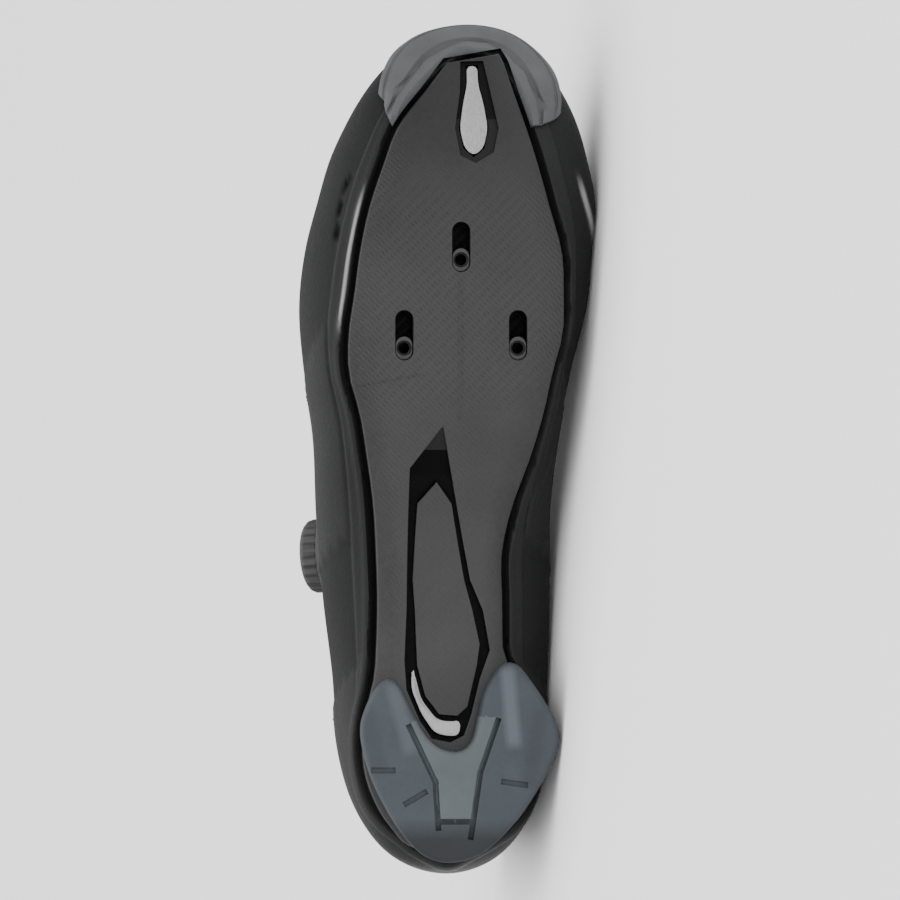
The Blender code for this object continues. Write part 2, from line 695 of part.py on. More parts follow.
def make_nuts():
    """Threaded plates in the heel end of the cleat slots."""
    for key, (x, y) in cleat_slots().items():
        name = "cleat_nut_" + key
        middle = (x - 0.5 * SLOT_LENGTH + GAP + 0.5 * NUT_LENGTH, y)
        low = 0.5 * (PLATE_THICK - NUT_THICK)
        body = capsule(middle, NUT_LENGTH, SLOT_WIDTH - 2 * GAP)
        nut = place(name, slab(name, body, low, low + NUT_THICK), NUT_STEEL)
        bore = disc(name + "_bore", 0.5 * NUT_HOLE, 2 * PLATE_THICK, Vector((*middle, -GAP)),
                    Vector((0.0, 0.0, 1.0)), 14)
        combine(nut, bore, "DIFFERENCE")
        settle(nut)
        bend(nut.data, [], [], on_plate)


def pad_front():
    return max(along for along, across in in_plan(PAD_OUTLINE))


def on_tread(point):
    """Stretches the flat pad between the ground and the underside of the plate."""
    rear, front = PAD_FLAT_BACK * LENGTH, PAD_FLAT_FRONT * LENGTH
    low = PAD_REAR_RISE * (max(0.0, rear - point.x) / rear) ** 2
    low += PAD_REAR_RISE * (max(0.0, point.x - front) / (pad_front() - front)) ** 2
    high = plate_under(point.x) - GAP
    share = point.z / (HEEL_STACK - GAP)
    return Vector((point.x, point.y, low + (high - low) * share))


def make_pad():
    thick = HEEL_STACK - GAP
    mesh = slab("heel_pad", in_plan(PAD_OUTLINE), 0.0, thick)
    bevel_under(mesh, 0.0, PLATE_BEVEL)
    pad = place("heel_pad", mesh, PAD_RUBBER)
    for index, ends in enumerate(PAD_GROOVES):
        a, b = (Vector(point) for point in in_plan(ends))
        half = (b - a).normalized() * 0.5 * PAD_GROOVE
        side = Vector((-half.y, half.x))
        a, b = a - half, b + half
        corners = [a - side, b - side, b + side, a + side]
        # each groove is a little deeper than the last, so no two floors are in one plane
        groove = slab("groove", corners, -BEYOND, PAD_GROOVE_DEPTH * thick * (1.0 + 0.02 * index))
        combine(pad, place(f"groove_cutter_{index + 1}", groove), "DIFFERENCE")
    settle(pad)
    bend(pad.data, [x for x in ACROSS_WHOLE if x < pad_front()], [], on_tread)


def around_columns(count):
    return [2.0 * math.pi * k / count for k in range(count)]


def padding_share(around, level):
    """How much of the collar's padding a point has."""
    turn = around if around <= math.pi else 2.0 * math.pi - around
    height = min(max((level - 1.45) / 0.25, 0.0), 1.0)
    return height * min(max((1.26 - turn) / 0.24, 0.0), 1.0)


def make_upper():
    columns = around_columns(COLUMNS)
    rows = [[upper_skin(a, level) for a in columns] for level in LEVELS]
    upper = place("upper", grid("upper", rows, True), UPPER_BLACK)
    weights = [padding_share(a, level) for level in LEVELS for a in columns]
    wall(upper, COLLAR_PADDING, WALL, weights)


def make_bumper():
    columns = [a for a in around_columns(COLUMNS) if BUMPER_FROM < math.degrees(a) < BUMPER_TO]
    foot = BUMPER_ROWS[0][0]
    middle, half = 0.5 * (BUMPER_TO + BUMPER_FROM), 0.5 * (BUMPER_TO - BUMPER_FROM)
    rows = []
    for level, share in BUMPER_ROWS:
        reach = [1.0 - BUMPER_TAPER * (abs(math.degrees(a) - middle) / half) ** 3 for a in columns]
        rows.append([upper_skin(a, foot + (level - foot) * r, 1.5 * GAP) for a, r in zip(columns, reach)])
    bumper = place("toe_bumper", grid("toe_bumper", rows), BUMPER_RUBBER)
    weights = [share for level, share in BUMPER_ROWS for a in columns]
    wall(bumper, BUMPER_THICK, 0.0, weights, True)
    mesh = slab("nose", grown(plate_edge(), GAP), -COLLAR_HEIGHT, COLLAR_HEIGHT)
    combine(bumper, place("plate_cutter", mesh), "DIFFERENCE")


def around_at(x, side, level=2.0):
    """Angle round the shoe where the skin at this level reaches x."""
    low, high = 0.02, math.pi - 0.02
    for _ in range(40):
        middle = 0.5 * (low + high)
        around = middle if side < 0 else 2.0 * math.pi - middle
        if upper_base(around, level).x < x:
            low = middle
        else:
            high = middle
    return low if side < 0 else 2.0 * math.pi - low


def make_tongue():
    rows = []
    under = -(WALL + OVERLAY_STEP + 2 * GAP)
    top = LEVELS[-1]
    for k in range(TONGUE_STEPS + 1):
        x = LENGTH * (TONGUE_FRONT + (TONGUE_BACK - TONGUE_FRONT) * k / TONGUE_STEPS)
        # the tuck narrows towards the ankle, where the collar's padding needs the room
        tuck = TONGUE_TUCK * min(1.0, 0.30 + 0.25 * (TONGUE_STEPS - k))
        levels = (top - tuck, top - 0.5 * tuck, top)
        lateral = [upper_skin(around_at(x, -1), level, under) for level in levels]
        medial = [upper_skin(around_at(x, 1), level, under) for level in reversed(levels)]
        middle = [lateral[-1].lerp(medial[0], share) for share in (1 / 3, 2 / 3)]
        rows.append(lateral + middle + medial)
    last = rows[-1]
    for rise, lean, wide in TONGUE_TOP:
        rows.append([Vector((point.x - TONGUE_LEAN * lean, point.y * wide, point.z + TONGUE_RISE * rise))
                     for point in last])
    tongue = place("tongue", grid("tongue", rows), LINING_BLACK)
    wall(tongue, TONGUE_THICK, even=False)


def make_insole():
    edge = [upper_base(around, 0.0) for around in around_columns(INSOLE_COLUMNS)]
    lift = PLATE_THICK + WALL + 4 * GAP
    mesh = slab("insole", grown([(point.x, point.y) for point in edge], -WALL - GAP), 0.0, INSOLE_THICK)
    insole = place("insole", mesh, LINING_BLACK)
    bend(insole.data, ACROSS_WHOLE, [], lambda p: on_plate(p, lift))


def guide_path(bar, side):
    """Half turn of the lace at one side of the throat, from this bar to the next."""
    middle = FIRST_BAR * LENGTH + BAR_SPACING * (bar + 0.5)
    points = []
    for k in range(GUIDE_STEPS + 1):
        angle = math.pi * (k / GUIDE_STEPS - 0.5)
        around = around_at(middle + 0.5 * BAR_SPACING * math.sin(angle), side)
        points.append(upper_skin(around, GUIDE_LEVEL - GUIDE_DIP * math.cos(angle), LACE_LIFT))
    return points


def guide_route():
    """Sides and paths of the guides, from the one nearest the ankle to the toe."""
    return [(1 if bar % 2 == 0 else -1, guide_path(bar, 1 if bar % 2 == 0 else -1))
            for bar in range(BAR_COUNT - 1)]


def dial_seat():
    around = around_at(DIAL_PLACE * LENGTH, -1, DIAL_LEVEL)
    return around, upper_skin(around, DIAL_LEVEL), upper_normal(around, DIAL_LEVEL)


def make_dial():
    around, seat, out = dial_seat()
    base = disc("dial_base", DIAL_BASE_RADIUS, DIAL_BASE_HEIGHT + DIAL_SUNK, seat - out * DIAL_SUNK, out,
                DIAL_SIDES, DIAL_BLACK)
    # the seat follows the same faces as the upper
    columns = [a for a in around_columns(COLUMNS)
               if (upper_base(a, DIAL_LEVEL) - seat).length < 2.5 * DIAL_BASE_RADIUS]
    rows = [[upper_skin(a, level, GAP) for a in columns] for level in LEVELS if level >= 1.0]
    cutter = place("dial_seat_cutter", grid("dial_seat", rows))
    wall(cutter, 2 * DIAL_SUNK)
    combine(base, cutter, "DIFFERENCE")
    knob = disc("dial_knob", DIAL_RADIUS, DIAL_HEIGHT, seat + out * (DIAL_BASE_HEIGHT + GAP), out,
                2 * DIAL_RIBS, DIAL_BLACK)
    for index, vertex in enumerate(knob.data.vertices):
        angle = math.atan2(vertex.co.y, vertex.co.x)
        if round(angle / (math.pi / DIAL_RIBS)) % 2:
            vertex.co.x *= 1.0 - DIAL_RIB_DEPTH / DIAL_RADIUS
            vertex.co.y *= 1.0 - DIAL_RIB_DEPTH / DIAL_RADIUS
    edge = knob.modifiers.new("edge", "BEVEL")
    edge.width = DIAL_EDGE
    edge.segments = 2
    edge.limit_method = "ANGLE"
    edge.angle_limit = math.radians(60.0)


def make_lace():
    """One wire lace from the dial through every guide to its anchor on the medial side."""
    guides = guide_route()
    around, seat, out = dial_seat()
    toward = guides[0][1][0] - seat
    toward = (toward - out * toward.dot(out)).normalized()
    start = seat + toward * (DIAL_BASE_RADIUS + GAP + LACE_RADIUS) + out * (GUIDE_RADIUS + GAP)
    lateral = upper_skin(around_at(FIRST_BAR * LENGTH, -1), GUIDE_LEVEL, LACE_LIFT)
    route = [start, start.lerp(lateral, 0.5) + out * LACE_RADIUS, lateral]
    for side, path in guides:
        route += path
    last = around_at(FIRST_BAR * LENGTH + BAR_SPACING * (BAR_COUNT - 1), 1)
    end = upper_skin(last, ANCHOR_LEVEL, LACE_LIFT)
    route.append(end)
    place("lace", tube("lace", route, LACE_RADIUS), LACE_GREY)
    for index, (side, path) in enumerate(guides):
        name = "guide_" + ("medial_" if side > 0 else "lateral_") + str(index // 2 + 1)
        guide = place(name, tube(name, path, GUIDE_RADIUS), DIAL_BLACK)
        first = path[0] + (path[0] - path[1]).normalized() * GUIDE_RADIUS
        final = path[-1] + (path[-1] - path[-2]).normalized() * GUIDE_RADIUS
        bore = place(name + "_bore", tube(name, [first] + path + [final], GUIDE_BORE))
        combine(guide, bore, "DIFFERENCE")
    # the lace runs through the middle of the anchor, half way up
    anchor = disc("guide_medial_3", ANCHOR_RADIUS, 2 * GUIDE_RADIUS, end - upper_normal(last, ANCHOR_LEVEL)
                  * GUIDE_RADIUS, upper_normal(last, ANCHOR_LEVEL), 12, DIAL_BLACK)
    through = (end - route[-2]).normalized() * 2 * ANCHOR_RADIUS
    combine(anchor, place("anchor_bore", tube("anchor_bore", [end - through, end + through], GUIDE_BORE)),
            "DIFFERENCE")


DENSITIES = {"sole_plate": 1450.0, "heel_pad": 1100.0, "toe_bumper": 1100.0}
UPPER_DENSITY = 620.0     # every other piece


def rest_matrix():
    """Turn and shift that lay the shoe on its medial side, on the floor."""
    bpy.context.view_layer.update()
    hull = bmesh.new()
    weight, middle = 0.0, Vector()
    for body in PIECES.objects:
        if body.type != "MESH":
            continue
        mesh = as_mesh(body, "measured")
        density = DENSITIES.get(body.name, UPPER_DENSITY)
        mesh.calc_loop_triangles()
        for triangle in mesh.loop_triangles:
            a, b, c = (mesh.vertices[i].co for i in triangle.vertices)
            share = a.dot(b.cross(c)) / 6.0 * density
            weight += share
            middle += (a + b + c) * 0.25 * share
        if body.name in ("upper", "heel_pad", "sole_plate", "toe_bumper"):
            hull.from_mesh(mesh)
        bpy.data.meshes.remove(mesh)
    middle /= weight
    found = bmesh.ops.convex_hull(hull, input=hull.verts, use_existing_faces=False)
    faces = [f for f in found["geom"] if isinstance(f, bmesh.types.BMFace) and f.normal.y > 0.8]
    floor = min(faces, key=lambda f: f.normal.dot(f.calc_center_median() - middle))
    down = floor.normal.copy()
    hull.free()
    forward = Vector((1.0, 0.0, 0.0))
    forward = (forward - down * forward.dot(down)).normalized()
    up = -down
    left = up.cross(forward)
    turn = Matrix((forward, left, up)).to_4x4()
    low, high = Vector((1.0, 1.0, 1.0)), Vector((-1.0, -1.0, -1.0))
    for body in PIECES.objects:
        if body.type != "MESH":
            continue
        mesh = as_mesh(body, "measured")
        for vertex in mesh.vertices:
            point = turn @ vertex.co
            low = Vector(map(min, low, point))
            high = Vector(map(max, high, point))
        bpy.data.meshes.remove(mesh)
    shift = Vector((-0.5 * (low.x + high.x), -0.5 * (low.y + high.y), -low.z))
    return Matrix.Translation(shift) @ turn


def lay_down():
    shoe = bpy.data.objects.new("shoe", None)
    PIECES.objects.link(shoe)
    shoe.matrix_world = rest_matrix()
    for body in list(PIECES.objects) + list(CUTTERS.objects):
        if body is not shoe:
            body.parent = shoe


make_plate()
make_vents()
make_nuts()
make_pad()
make_upper()
make_bumper()
make_tongue()
make_insole()
make_dial()
make_lace()
lay_down()
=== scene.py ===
# Right road cycling shoe lying on its inner side, seen square on to its sole.
# The shoe's own frame has x from heel to toe, y towards the inner (medial) side and z from sole to collar.
import math
import bpy, bmesh
import numpy as np
from mathutils import Matrix, Vector
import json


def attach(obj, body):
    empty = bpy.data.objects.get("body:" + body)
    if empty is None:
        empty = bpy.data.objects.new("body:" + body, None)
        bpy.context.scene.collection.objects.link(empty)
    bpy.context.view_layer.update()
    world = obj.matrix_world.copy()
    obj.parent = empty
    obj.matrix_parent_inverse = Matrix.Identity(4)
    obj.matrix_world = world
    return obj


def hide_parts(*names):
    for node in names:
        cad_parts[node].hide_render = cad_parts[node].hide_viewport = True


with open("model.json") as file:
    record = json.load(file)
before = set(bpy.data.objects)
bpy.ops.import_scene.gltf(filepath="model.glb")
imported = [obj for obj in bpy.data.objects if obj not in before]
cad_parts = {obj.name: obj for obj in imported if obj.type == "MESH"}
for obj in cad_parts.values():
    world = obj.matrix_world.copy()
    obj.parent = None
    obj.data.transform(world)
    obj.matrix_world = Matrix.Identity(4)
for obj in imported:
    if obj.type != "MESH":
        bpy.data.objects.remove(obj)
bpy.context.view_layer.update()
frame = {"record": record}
print("stage: frame loaded")

# named sizes of the shoe, in metres
shoe = {
    "length": 0.2775, "ballWidth": 0.0967, "collarHeight": 0.088, "archHeight": 0.0145,
    "toeSpring": 0.0215, "heelStack": 0.0085, "gap": 0.0003, "wall": 0.0018, "padding": 0.0045,
    "overlay": 0.0008, "flange": 0.008, "soleMargin": 0.0015, "plate": 0.0055, "edgeRoll": 0.0016,
    "rollFrom": 0.72, "featherSetback": 0.0028, "featherRound": 0.020, "flangeMiddle": (0.030, 0.235),
}
# how far cutters stick out, how near two places count as one, and the steps that measure a slope
small = {"beyond": 0.0012, "near": 0.0002, "cut": 1e-5, "turn": 0.02, "level": 0.03}

# widest line of the upper: along the length, then lateral and medial as shares of the ball width
outlineRows = [
    (0.000, 0.000, 0.000), (0.028, 0.208, 0.198), (0.050, 0.262, 0.250), (0.092, 0.325, 0.305),
    (0.150, 0.367, 0.332), (0.235, 0.386, 0.348), (0.330, 0.417, 0.358), (0.430, 0.436, 0.354),
    (0.515, 0.450, 0.380), (0.600, 0.490, 0.425), (0.665, 0.504, 0.472), (0.735, 0.484, 0.492),
    (0.793, 0.442, 0.502), (0.840, 0.402, 0.478), (0.885, 0.342, 0.444), (0.925, 0.272, 0.392),
    (0.965, 0.165, 0.300), (0.985, 0.065, 0.205), (0.992, -0.072, 0.072),
]
# edge of the sole plate, the same way
plateRows = [
    (0.018, 0.020, 0.020), (0.030, 0.125, 0.115), (0.052, 0.195, 0.200), (0.090, 0.262, 0.285),
    (0.150, 0.297, 0.322), (0.195, 0.280, 0.285), (0.230, 0.255, 0.222), (0.270, 0.246, 0.182),
    (0.320, 0.242, 0.182), (0.375, 0.246, 0.180), (0.430, 0.256, 0.212), (0.490, 0.281, 0.272),
    (0.545, 0.310, 0.316), (0.587, 0.345, 0.340), (0.640, 0.347, 0.378), (0.680, 0.330, 0.380),
    (0.732, 0.310, 0.374), (0.785, 0.278, 0.333), (0.832, 0.232, 0.298), (0.885, 0.168, 0.254),
    (0.925, 0.076, 0.218), (0.957, 0.004, 0.190),
]
plateNose = {"along": 0.968, "medial": 0.174}
# underside of the plate: along, heel, arch and toe shares, and the rise of the widest line
profileRows = [
    (0.000, 1.00, 0.000, 0.000, 0.0130), (0.110, 1.00, 0.000, 0.000, 0.0150),
    (0.220, 0.60, 0.420, 0.000, 0.0155), (0.330, 0.18, 0.880, 0.000, 0.0155),
    (0.400, 0.05, 0.930, 0.000, 0.0155), (0.470, 0.00, 0.640, 0.000, 0.0160),
    (0.540, 0.00, 0.260, 0.000, 0.0165), (0.590, 0.00, 0.040, 0.000, 0.0170),
    (0.620, 0.00, 0.000, 0.000, 0.0170), (0.760, 0.00, 0.000, 0.000, 0.0160),
    (0.820, 0.00, 0.000, 0.090, 0.0145), (0.880, 0.00, 0.000, 0.360, 0.0120),
    (0.940, 0.00, 0.000, 0.740, 0.0095), (1.000, 0.00, 0.000, 1.080, 0.0080),
]
# edge of the opening: along the outline, along the opening, lateral, medial, height, fullness
openingRows = [
    (0.000, 0.028, 0.000, 0.000, 1.000, 1.45), (0.050, 0.048, 0.150, 0.150, 0.990, 1.38),
    (0.144, 0.130, 0.255, 0.250, 0.900, 1.22), (0.234, 0.215, 0.288, 0.280, 0.815, 1.22),
    (0.324, 0.300, 0.268, 0.258, 0.875, 1.35), (0.414, 0.385, 0.195, 0.190, 0.985, 1.55),
    (0.505, 0.475, 0.150, 0.150, 0.965, 1.72), (0.595, 0.545, 0.132, 0.132, 0.905, 1.80),
    (0.685, 0.597, 0.118, 0.118, 0.855, 1.84), (0.775, 0.630, 0.092, 0.092, 0.820, 1.86),
    (0.865, 0.650, 0.060, 0.060, 0.798, 1.90), (0.945, 0.659, 0.028, 0.030, 0.787, 1.94),
    (1.000, 0.662, -0.004, 0.004, 0.783, 1.96),
]


# the shoe's frame in the world comes from the two flat faces that the record states
mountPlaces = ((0.192, 0.003), (0.040, -0.018))


def findShoeFrame():
    mounts = {m["name"]: m for m in frame["record"]["mounts"]}
    seatPlace, heelPlace = (Vector((*place, 0.0)) for place in mountPlaces)
    seat, heel = Vector(mounts["cleat_seat"]["pos_m"]), Vector(mounts["heel_tread"]["pos_m"])
    up = -Vector(mounts["cleat_seat"]["axis"]).normalized()
    ahead = seat - heel
    ahead = (ahead - up * ahead.dot(up)).normalized()
    step = seatPlace - heelPlace
    forward = Matrix.Rotation(-math.atan2(step.y, step.x), 3, up) @ ahead
    turn = Matrix((forward, up.cross(forward), up)).transposed()
    return Matrix.Translation(seat - turn @ seatPlace) @ turn.to_4x4()


toWorld = findShoeFrame()
toShoe = toWorld.inverted()


def curveThrough(stations, values, levelEnds=False):
    stations, values = np.asarray(stations, float), np.asarray(values, float)
    slopes = np.gradient(values, stations)
    flat = np.isclose(np.diff(values), 0.0)
    slopes[:-1][flat] = 0.0
    slopes[1:][flat] = 0.0
    if levelEnds:
        slopes[0] = slopes[-1] = 0.0
    stations, values, slopes = stations.tolist(), values.tolist(), slopes.tolist()

    def read(at):
        at = min(max(at, stations[0]), stations[-1])
        i = 0
        while i < len(stations) - 2 and at > stations[i + 1]:
            i += 1
        step = stations[i + 1] - stations[i]
        t = (at - stations[i]) / step
        return ((2 * t**3 - 3 * t**2 + 1) * values[i] + (t**3 - 2 * t**2 + t) * step * slopes[i]
                + (3 * t**2 - 2 * t**3) * values[i + 1] + (t**3 - t**2) * step * slopes[i + 1])
    return read


def turnOf(share):
    return math.acos(max(-1.0, min(1.0, 1.0 - 2.0 * share)))


def column(rows, index):
    return [row[index] for row in rows]


outlineEnd = outlineRows[-1][0]
outlineTurns = [turnOf(row[0] / outlineEnd) for row in outlineRows]
openingTurns = [turnOf(row[0]) for row in openingRows]
plateAlong = [row[0] * shoe["length"] for row in plateRows]
profileAlong = [row[0] * shoe["length"] for row in profileRows]
outlineOf = {-1: curveThrough(outlineTurns, column(outlineRows, 1)),
             1: curveThrough(outlineTurns, column(outlineRows, 2))}
plateOf = {-1: curveThrough(plateAlong, column(plateRows, 1)),
           1: curveThrough(plateAlong, column(plateRows, 2))}
openingOf = {-1: curveThrough(openingTurns, column(openingRows, 2)),
             1: curveThrough(openingTurns, column(openingRows, 3))}
opensAlong = curveThrough(openingTurns, column(openingRows, 1), True)
opensHigh = curveThrough(openingTurns, column(openingRows, 4), True)
opensFull = curveThrough(openingTurns, column(openingRows, 5), True)
widestRise = curveThrough(profileAlong, column(profileRows, 4), True)
underside = curveThrough(profileAlong, [
    shoe["heelStack"] * row[1] + shoe["archHeight"] * row[2] + shoe["toeSpring"] * row[3]
    for row in profileRows], True)


def plateSide(x, side):
    return shoe["ballWidth"] * plateOf[side](x)


def edgeRoll(x, y):
    reach = abs(y) / max(plateSide(x, 1 if y >= 0.0 else -1), shoe["plate"])
    return shoe["edgeRoll"] * (max(0.0, min(reach, 1.0) - shoe["rollFrom"]) / (1.0 - shoe["rollFrom"])) ** 2


def roundEnd(x, low, high, reach):
    near = min(x - low, high - x)
    return 1.0 if near >= reach else math.sqrt(max(0.0, 1.0 - ((reach - near) / reach) ** 2))


meridians = {}


def meridian(around):
    # what the upper's wall runs between at one place round the shoe
    around = around % (2.0 * math.pi)
    key = round(around, 6)
    if key in meridians:
        return meridians[key]
    side, turn = (-1, around) if around <= math.pi else (1, 2.0 * math.pi - around)
    along = 0.5 * (1.0 - math.cos(turn))
    low = plateRows[0][0] * shoe["length"] + shoe["soleMargin"]
    high = plateNose["along"] * shoe["length"] - shoe["featherSetback"]
    x = low + (high - low) * along
    lateral = shoe["soleMargin"] - plateSide(x, -1)
    medial = plateSide(x, 1) - shoe["soleMargin"]
    narrowed = roundEnd(x, low, high, shoe["featherRound"])
    y = 0.5 * (lateral + medial) + side * 0.5 * (medial - lateral) * narrowed
    feather = Vector((x, y, underside(x) + shoe["plate"] + shoe["gap"]))
    x = shoe["length"] * outlineEnd * along
    wide = Vector((x, side * shoe["ballWidth"] * outlineOf[side](turn),
                   underside(x) + shoe["plate"] + widestRise(x)))
    edge = Vector((shoe["length"] * opensAlong(turn), side * shoe["ballWidth"] * openingOf[side](turn),
                   shoe["collarHeight"] * opensHigh(turn)))
    meridians[key] = (feather, wide, edge, opensFull(turn))
    return meridians[key]


def upperBase(around, level):
    # level -1 is the flange's inner edge, 0 the plate's edge, 1 the widest line and 2 the opening
    feather, wide, edge, fullness = meridian(around)
    if level < 0.0:
        start, end = shoe["flangeMiddle"]
        middle = Vector((min(max(feather.x, start), end), 0.0, feather.z))
        reached = feather + (middle - feather).normalized() * shoe["flange"] * -level
        reached.z = underside(reached.x) + shoe["plate"] + shoe["gap"]
        return reached
    if level <= 1.0:
        angle = 0.5 * math.pi * level
        start, end, across, up = feather, wide, math.sin(angle) ** 1.2, 1.0 - math.cos(angle) ** 1.2
    else:
        angle = 0.5 * math.pi * (level - 1.0)
        start, end = wide, edge
        across = 1.0 - max(math.cos(angle), 0.0) ** (2.0 / fullness)
        up = math.sin(angle) ** (2.0 / fullness)
    return Vector((start.x + (end.x - start.x) * across, start.y + (end.y - start.y) * across,
                   start.z + (end.z - start.z) * up))


def alongUpper(around, level):
    return upperBase(around + small["turn"], level) - upperBase(around - small["turn"], level)


def upperNormal(around, level):
    low, high = max(level - small["level"], 0.0), min(level + small["level"], 2.0)
    return alongUpper(around, level).cross(upperBase(around, high) - upperBase(around, low)).normalized()


def upperSkin(around, level, out=0.0):
    if level < 0.0:
        return upperBase(around, level) - Vector((0.0, 0.0, out))
    return upperBase(around, level) + upperNormal(around, level) * (out + upperRelief(around, level))


def aroundAt(x, side, level=2.0):
    # halves the range until the place round the shoe is found
    low, high = small["turn"], math.pi - small["turn"]
    for step in range(34):
        middle = 0.5 * (low + high)
        if upperBase(middle if side < 0 else 2.0 * math.pi - middle, level).x < x:
            low = middle
        else:
            high = middle
    return low if side < 0 else 2.0 * math.pi - low


def ease(low, high, at):
    t = min(max((at - low) / (high - low), 0.0), 1.0)
    return t * t * (3.0 - 2.0 * t)


def bump(low, high, soft, at):
    return ease(low - soft, low + soft, at) * (1.0 - ease(high - soft, high + soft, at))


def inDegrees(around):
    return math.degrees(around) % 360.0


def sideOf(degrees):
    return -1 if degrees <= 180.0 else 1


def fromHeel(degrees):
    return min(degrees, 360.0 - degrees)


def roundAngles(count):
    return [2.0 * math.pi * k / count for k in range(count)]


def sidesOf(points):
    return zip(points, points[1:] + points[:1])


# camera, floor and lights
view = {
    "pixelsPerMetre": 3053.0, "image": 900, "heelPixel": 873.0, "middlePixel": 450.0,
    "turned": math.radians(4.0), "distance": 6.0, "sensor": 36.0, "soleLevel": 0.010,
}


def makeCamera():
    aim = toWorld @ Vector(((view["heelPixel"] - view["image"] / 2) / view["pixelsPerMetre"],
                            (view["image"] / 2 - view["middlePixel"]) / view["pixelsPerMetre"],
                            view["soleLevel"]))
    turn = toWorld.to_3x3()
    look = (turn @ Vector((0.0, math.sin(view["turned"]), math.cos(view["turned"])))).normalized()
    up = (turn @ Vector((1.0, 0.0, 0.0))).normalized()
    back = -look
    right = up.cross(back).normalized()
    data = bpy.data.cameras.new("camera")
    data.sensor_width = view["sensor"]
    data.lens = view["sensor"] * view["distance"] * view["pixelsPerMetre"] / view["image"]
    data.clip_end = 50.0
    camera = bpy.data.objects.new("camera", data)
    bpy.context.scene.collection.objects.link(camera)
    camera.matrix_world = (Matrix.Translation(aim + back * view["distance"])
                           @ Matrix((right, up, back)).transposed().to_4x4())
    bpy.context.scene.camera = camera
    print("stage: camera, elevation", round(math.degrees(math.asin(-look.z)), 1))


studio = {
    "world": 0.95, "floor": 0.92, "floorSize": 14.0, "aim": (0.0, 0.0, 0.05),
    # place, size and power
    "lights": {"above": ((0.0, 0.3, 3.2), (5.5, 5.5), 210.0), "key": ((0.9, -1.9, 1.5), (1.1, 1.1), 14.0),
               "strip": ((-0.9, -1.6, 0.5), (0.25, 1.4), 3.0), "low": ((0.0, -1.5, 0.11), (1.8, 0.18), 7.0)},
}


def areaLight(name, place, size, power):
    data = bpy.data.lights.new(name, "AREA")
    data.shape = "RECTANGLE"
    data.size, data.size_y = size
    data.energy = power
    light = bpy.data.objects.new(name, data)
    bpy.context.scene.collection.objects.link(light)
    light.location = place
    light.rotation_euler = (Vector(studio["aim"]) - Vector(place)).to_track_quat("-Z", "Y").to_euler()


def makeStudio():
    bm = bmesh.new()
    bmesh.ops.create_grid(bm, x_segments=1, y_segments=1, size=studio["floorSize"])
    floor = scratchObject("floor", bm)
    pale = bpy.data.materials.new("pale_floor")
    pale.use_nodes = True
    shader = pale.node_tree.nodes["Principled BSDF"]
    shader.inputs["Base Color"].default_value = (studio["floor"],) * 3 + (1.0,)
    shader.inputs["Roughness"].default_value = 0.9
    shader.inputs["Specular IOR Level"].default_value = 0.1
    floor.data.materials.append(pale)
    world = bpy.data.worlds.new("studio")
    world.use_nodes = True
    world.node_tree.nodes["Background"].inputs[0].default_value = (1.0, 1.0, 1.0, 1.0)
    world.node_tree.nodes["Background"].inputs[1].default_value = studio["world"]
    bpy.context.scene.world = world
    for name, (place, size, power) in studio["lights"].items():
        areaLight(name, place, size, power)


# helpers for the pieces
def scratchObject(name, bm):
    mesh = bpy.data.meshes.new(name)
    bm.to_mesh(mesh)
    bm.free()
    body = bpy.data.objects.new(name, mesh)
    bpy.context.scene.collection.objects.link(body)
    return body


def newPiece(name, bm, looks, angle=0.0):
    piece = scratchObject(name, bm)
    for look in looks:
        piece.data.materials.append(finishes[look])
    piece.data.shade_smooth()
    if angle:
        piece.data.set_sharp_from_angle(angle=math.radians(angle))
    return piece


def modifier(piece, kind, **settings):
    made = piece.modifiers.new(kind.lower(), kind)
    for key, value in settings.items():
        setattr(made, key, value)


def roundedEdges(piece, width, segments, angle):
    modifier(piece, "BEVEL", width=width, segments=segments, limit_method="ANGLE", angle_limit=math.radians(angle))
    keepShape(piece)


def takePlace(piece, *replaced):
    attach(piece, "root")
    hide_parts(*replaced)
    print("stage:", piece.name, len(piece.data.polygons))


def editPiece(piece, change):
    bm = bmesh.new()
    bm.from_mesh(piece.data)
    change(bm)
    bm.to_mesh(piece.data)
    bm.free()


def keepShape(piece):
    # works out the modifiers and keeps the result as the piece's mesh
    bpy.context.view_layer.update()
    mesh = bpy.data.meshes.new_from_object(piece.evaluated_get(bpy.context.evaluated_depsgraph_get()))
    piece.modifiers.clear()
    old = piece.data
    piece.data = mesh
    mesh.name = piece.name
    bpy.data.meshes.remove(old)


def smoothAgain(piece, angle):
    piece.data.shade_smooth()
    piece.data.set_sharp_from_angle(angle=math.radians(angle))


def vertsOf(geometry):
    return [part for part in geometry if isinstance(part, bmesh.types.BMVert)]


def loft(rings, columns, placeAt, closed=True, measures=()):
    # a ring or a row of vertices, extruded from level to level, each row placed by a function
    bm = bmesh.new()
    for measure in measures:
        bm.verts.layers.float.new(measure)
    tag = bm.verts.layers.int.new("column")
    if closed:
        first = bmesh.ops.create_circle(bm, segments=len(columns), radius=1.0)["verts"]
    else:
        first = [bm.verts.new((i, 0.0, 0.0)) for i in range(len(columns))]
        for a, b in zip(first, first[1:]):
            bm.edges.new((a, b))
    for i, vert in enumerate(first):
        vert[tag] = i
        vert.co = placeAt(columns[i], rings[0])
    edges, rows = list(bm.edges), [first]
    for ring in rings[1:]:
        made = bmesh.ops.extrude_edge_only(bm, edges=edges)["geom"]
        row = vertsOf(made)
        edges = [g for g in made if isinstance(g, bmesh.types.BMEdge)
                 and g.verts[0] in row and g.verts[1] in row]
        row.sort(key=lambda vert: vert[tag])
        for vert in row:
            vert.co = placeAt(columns[vert[tag]], ring)
        rows.append(row)
    return bm, rows


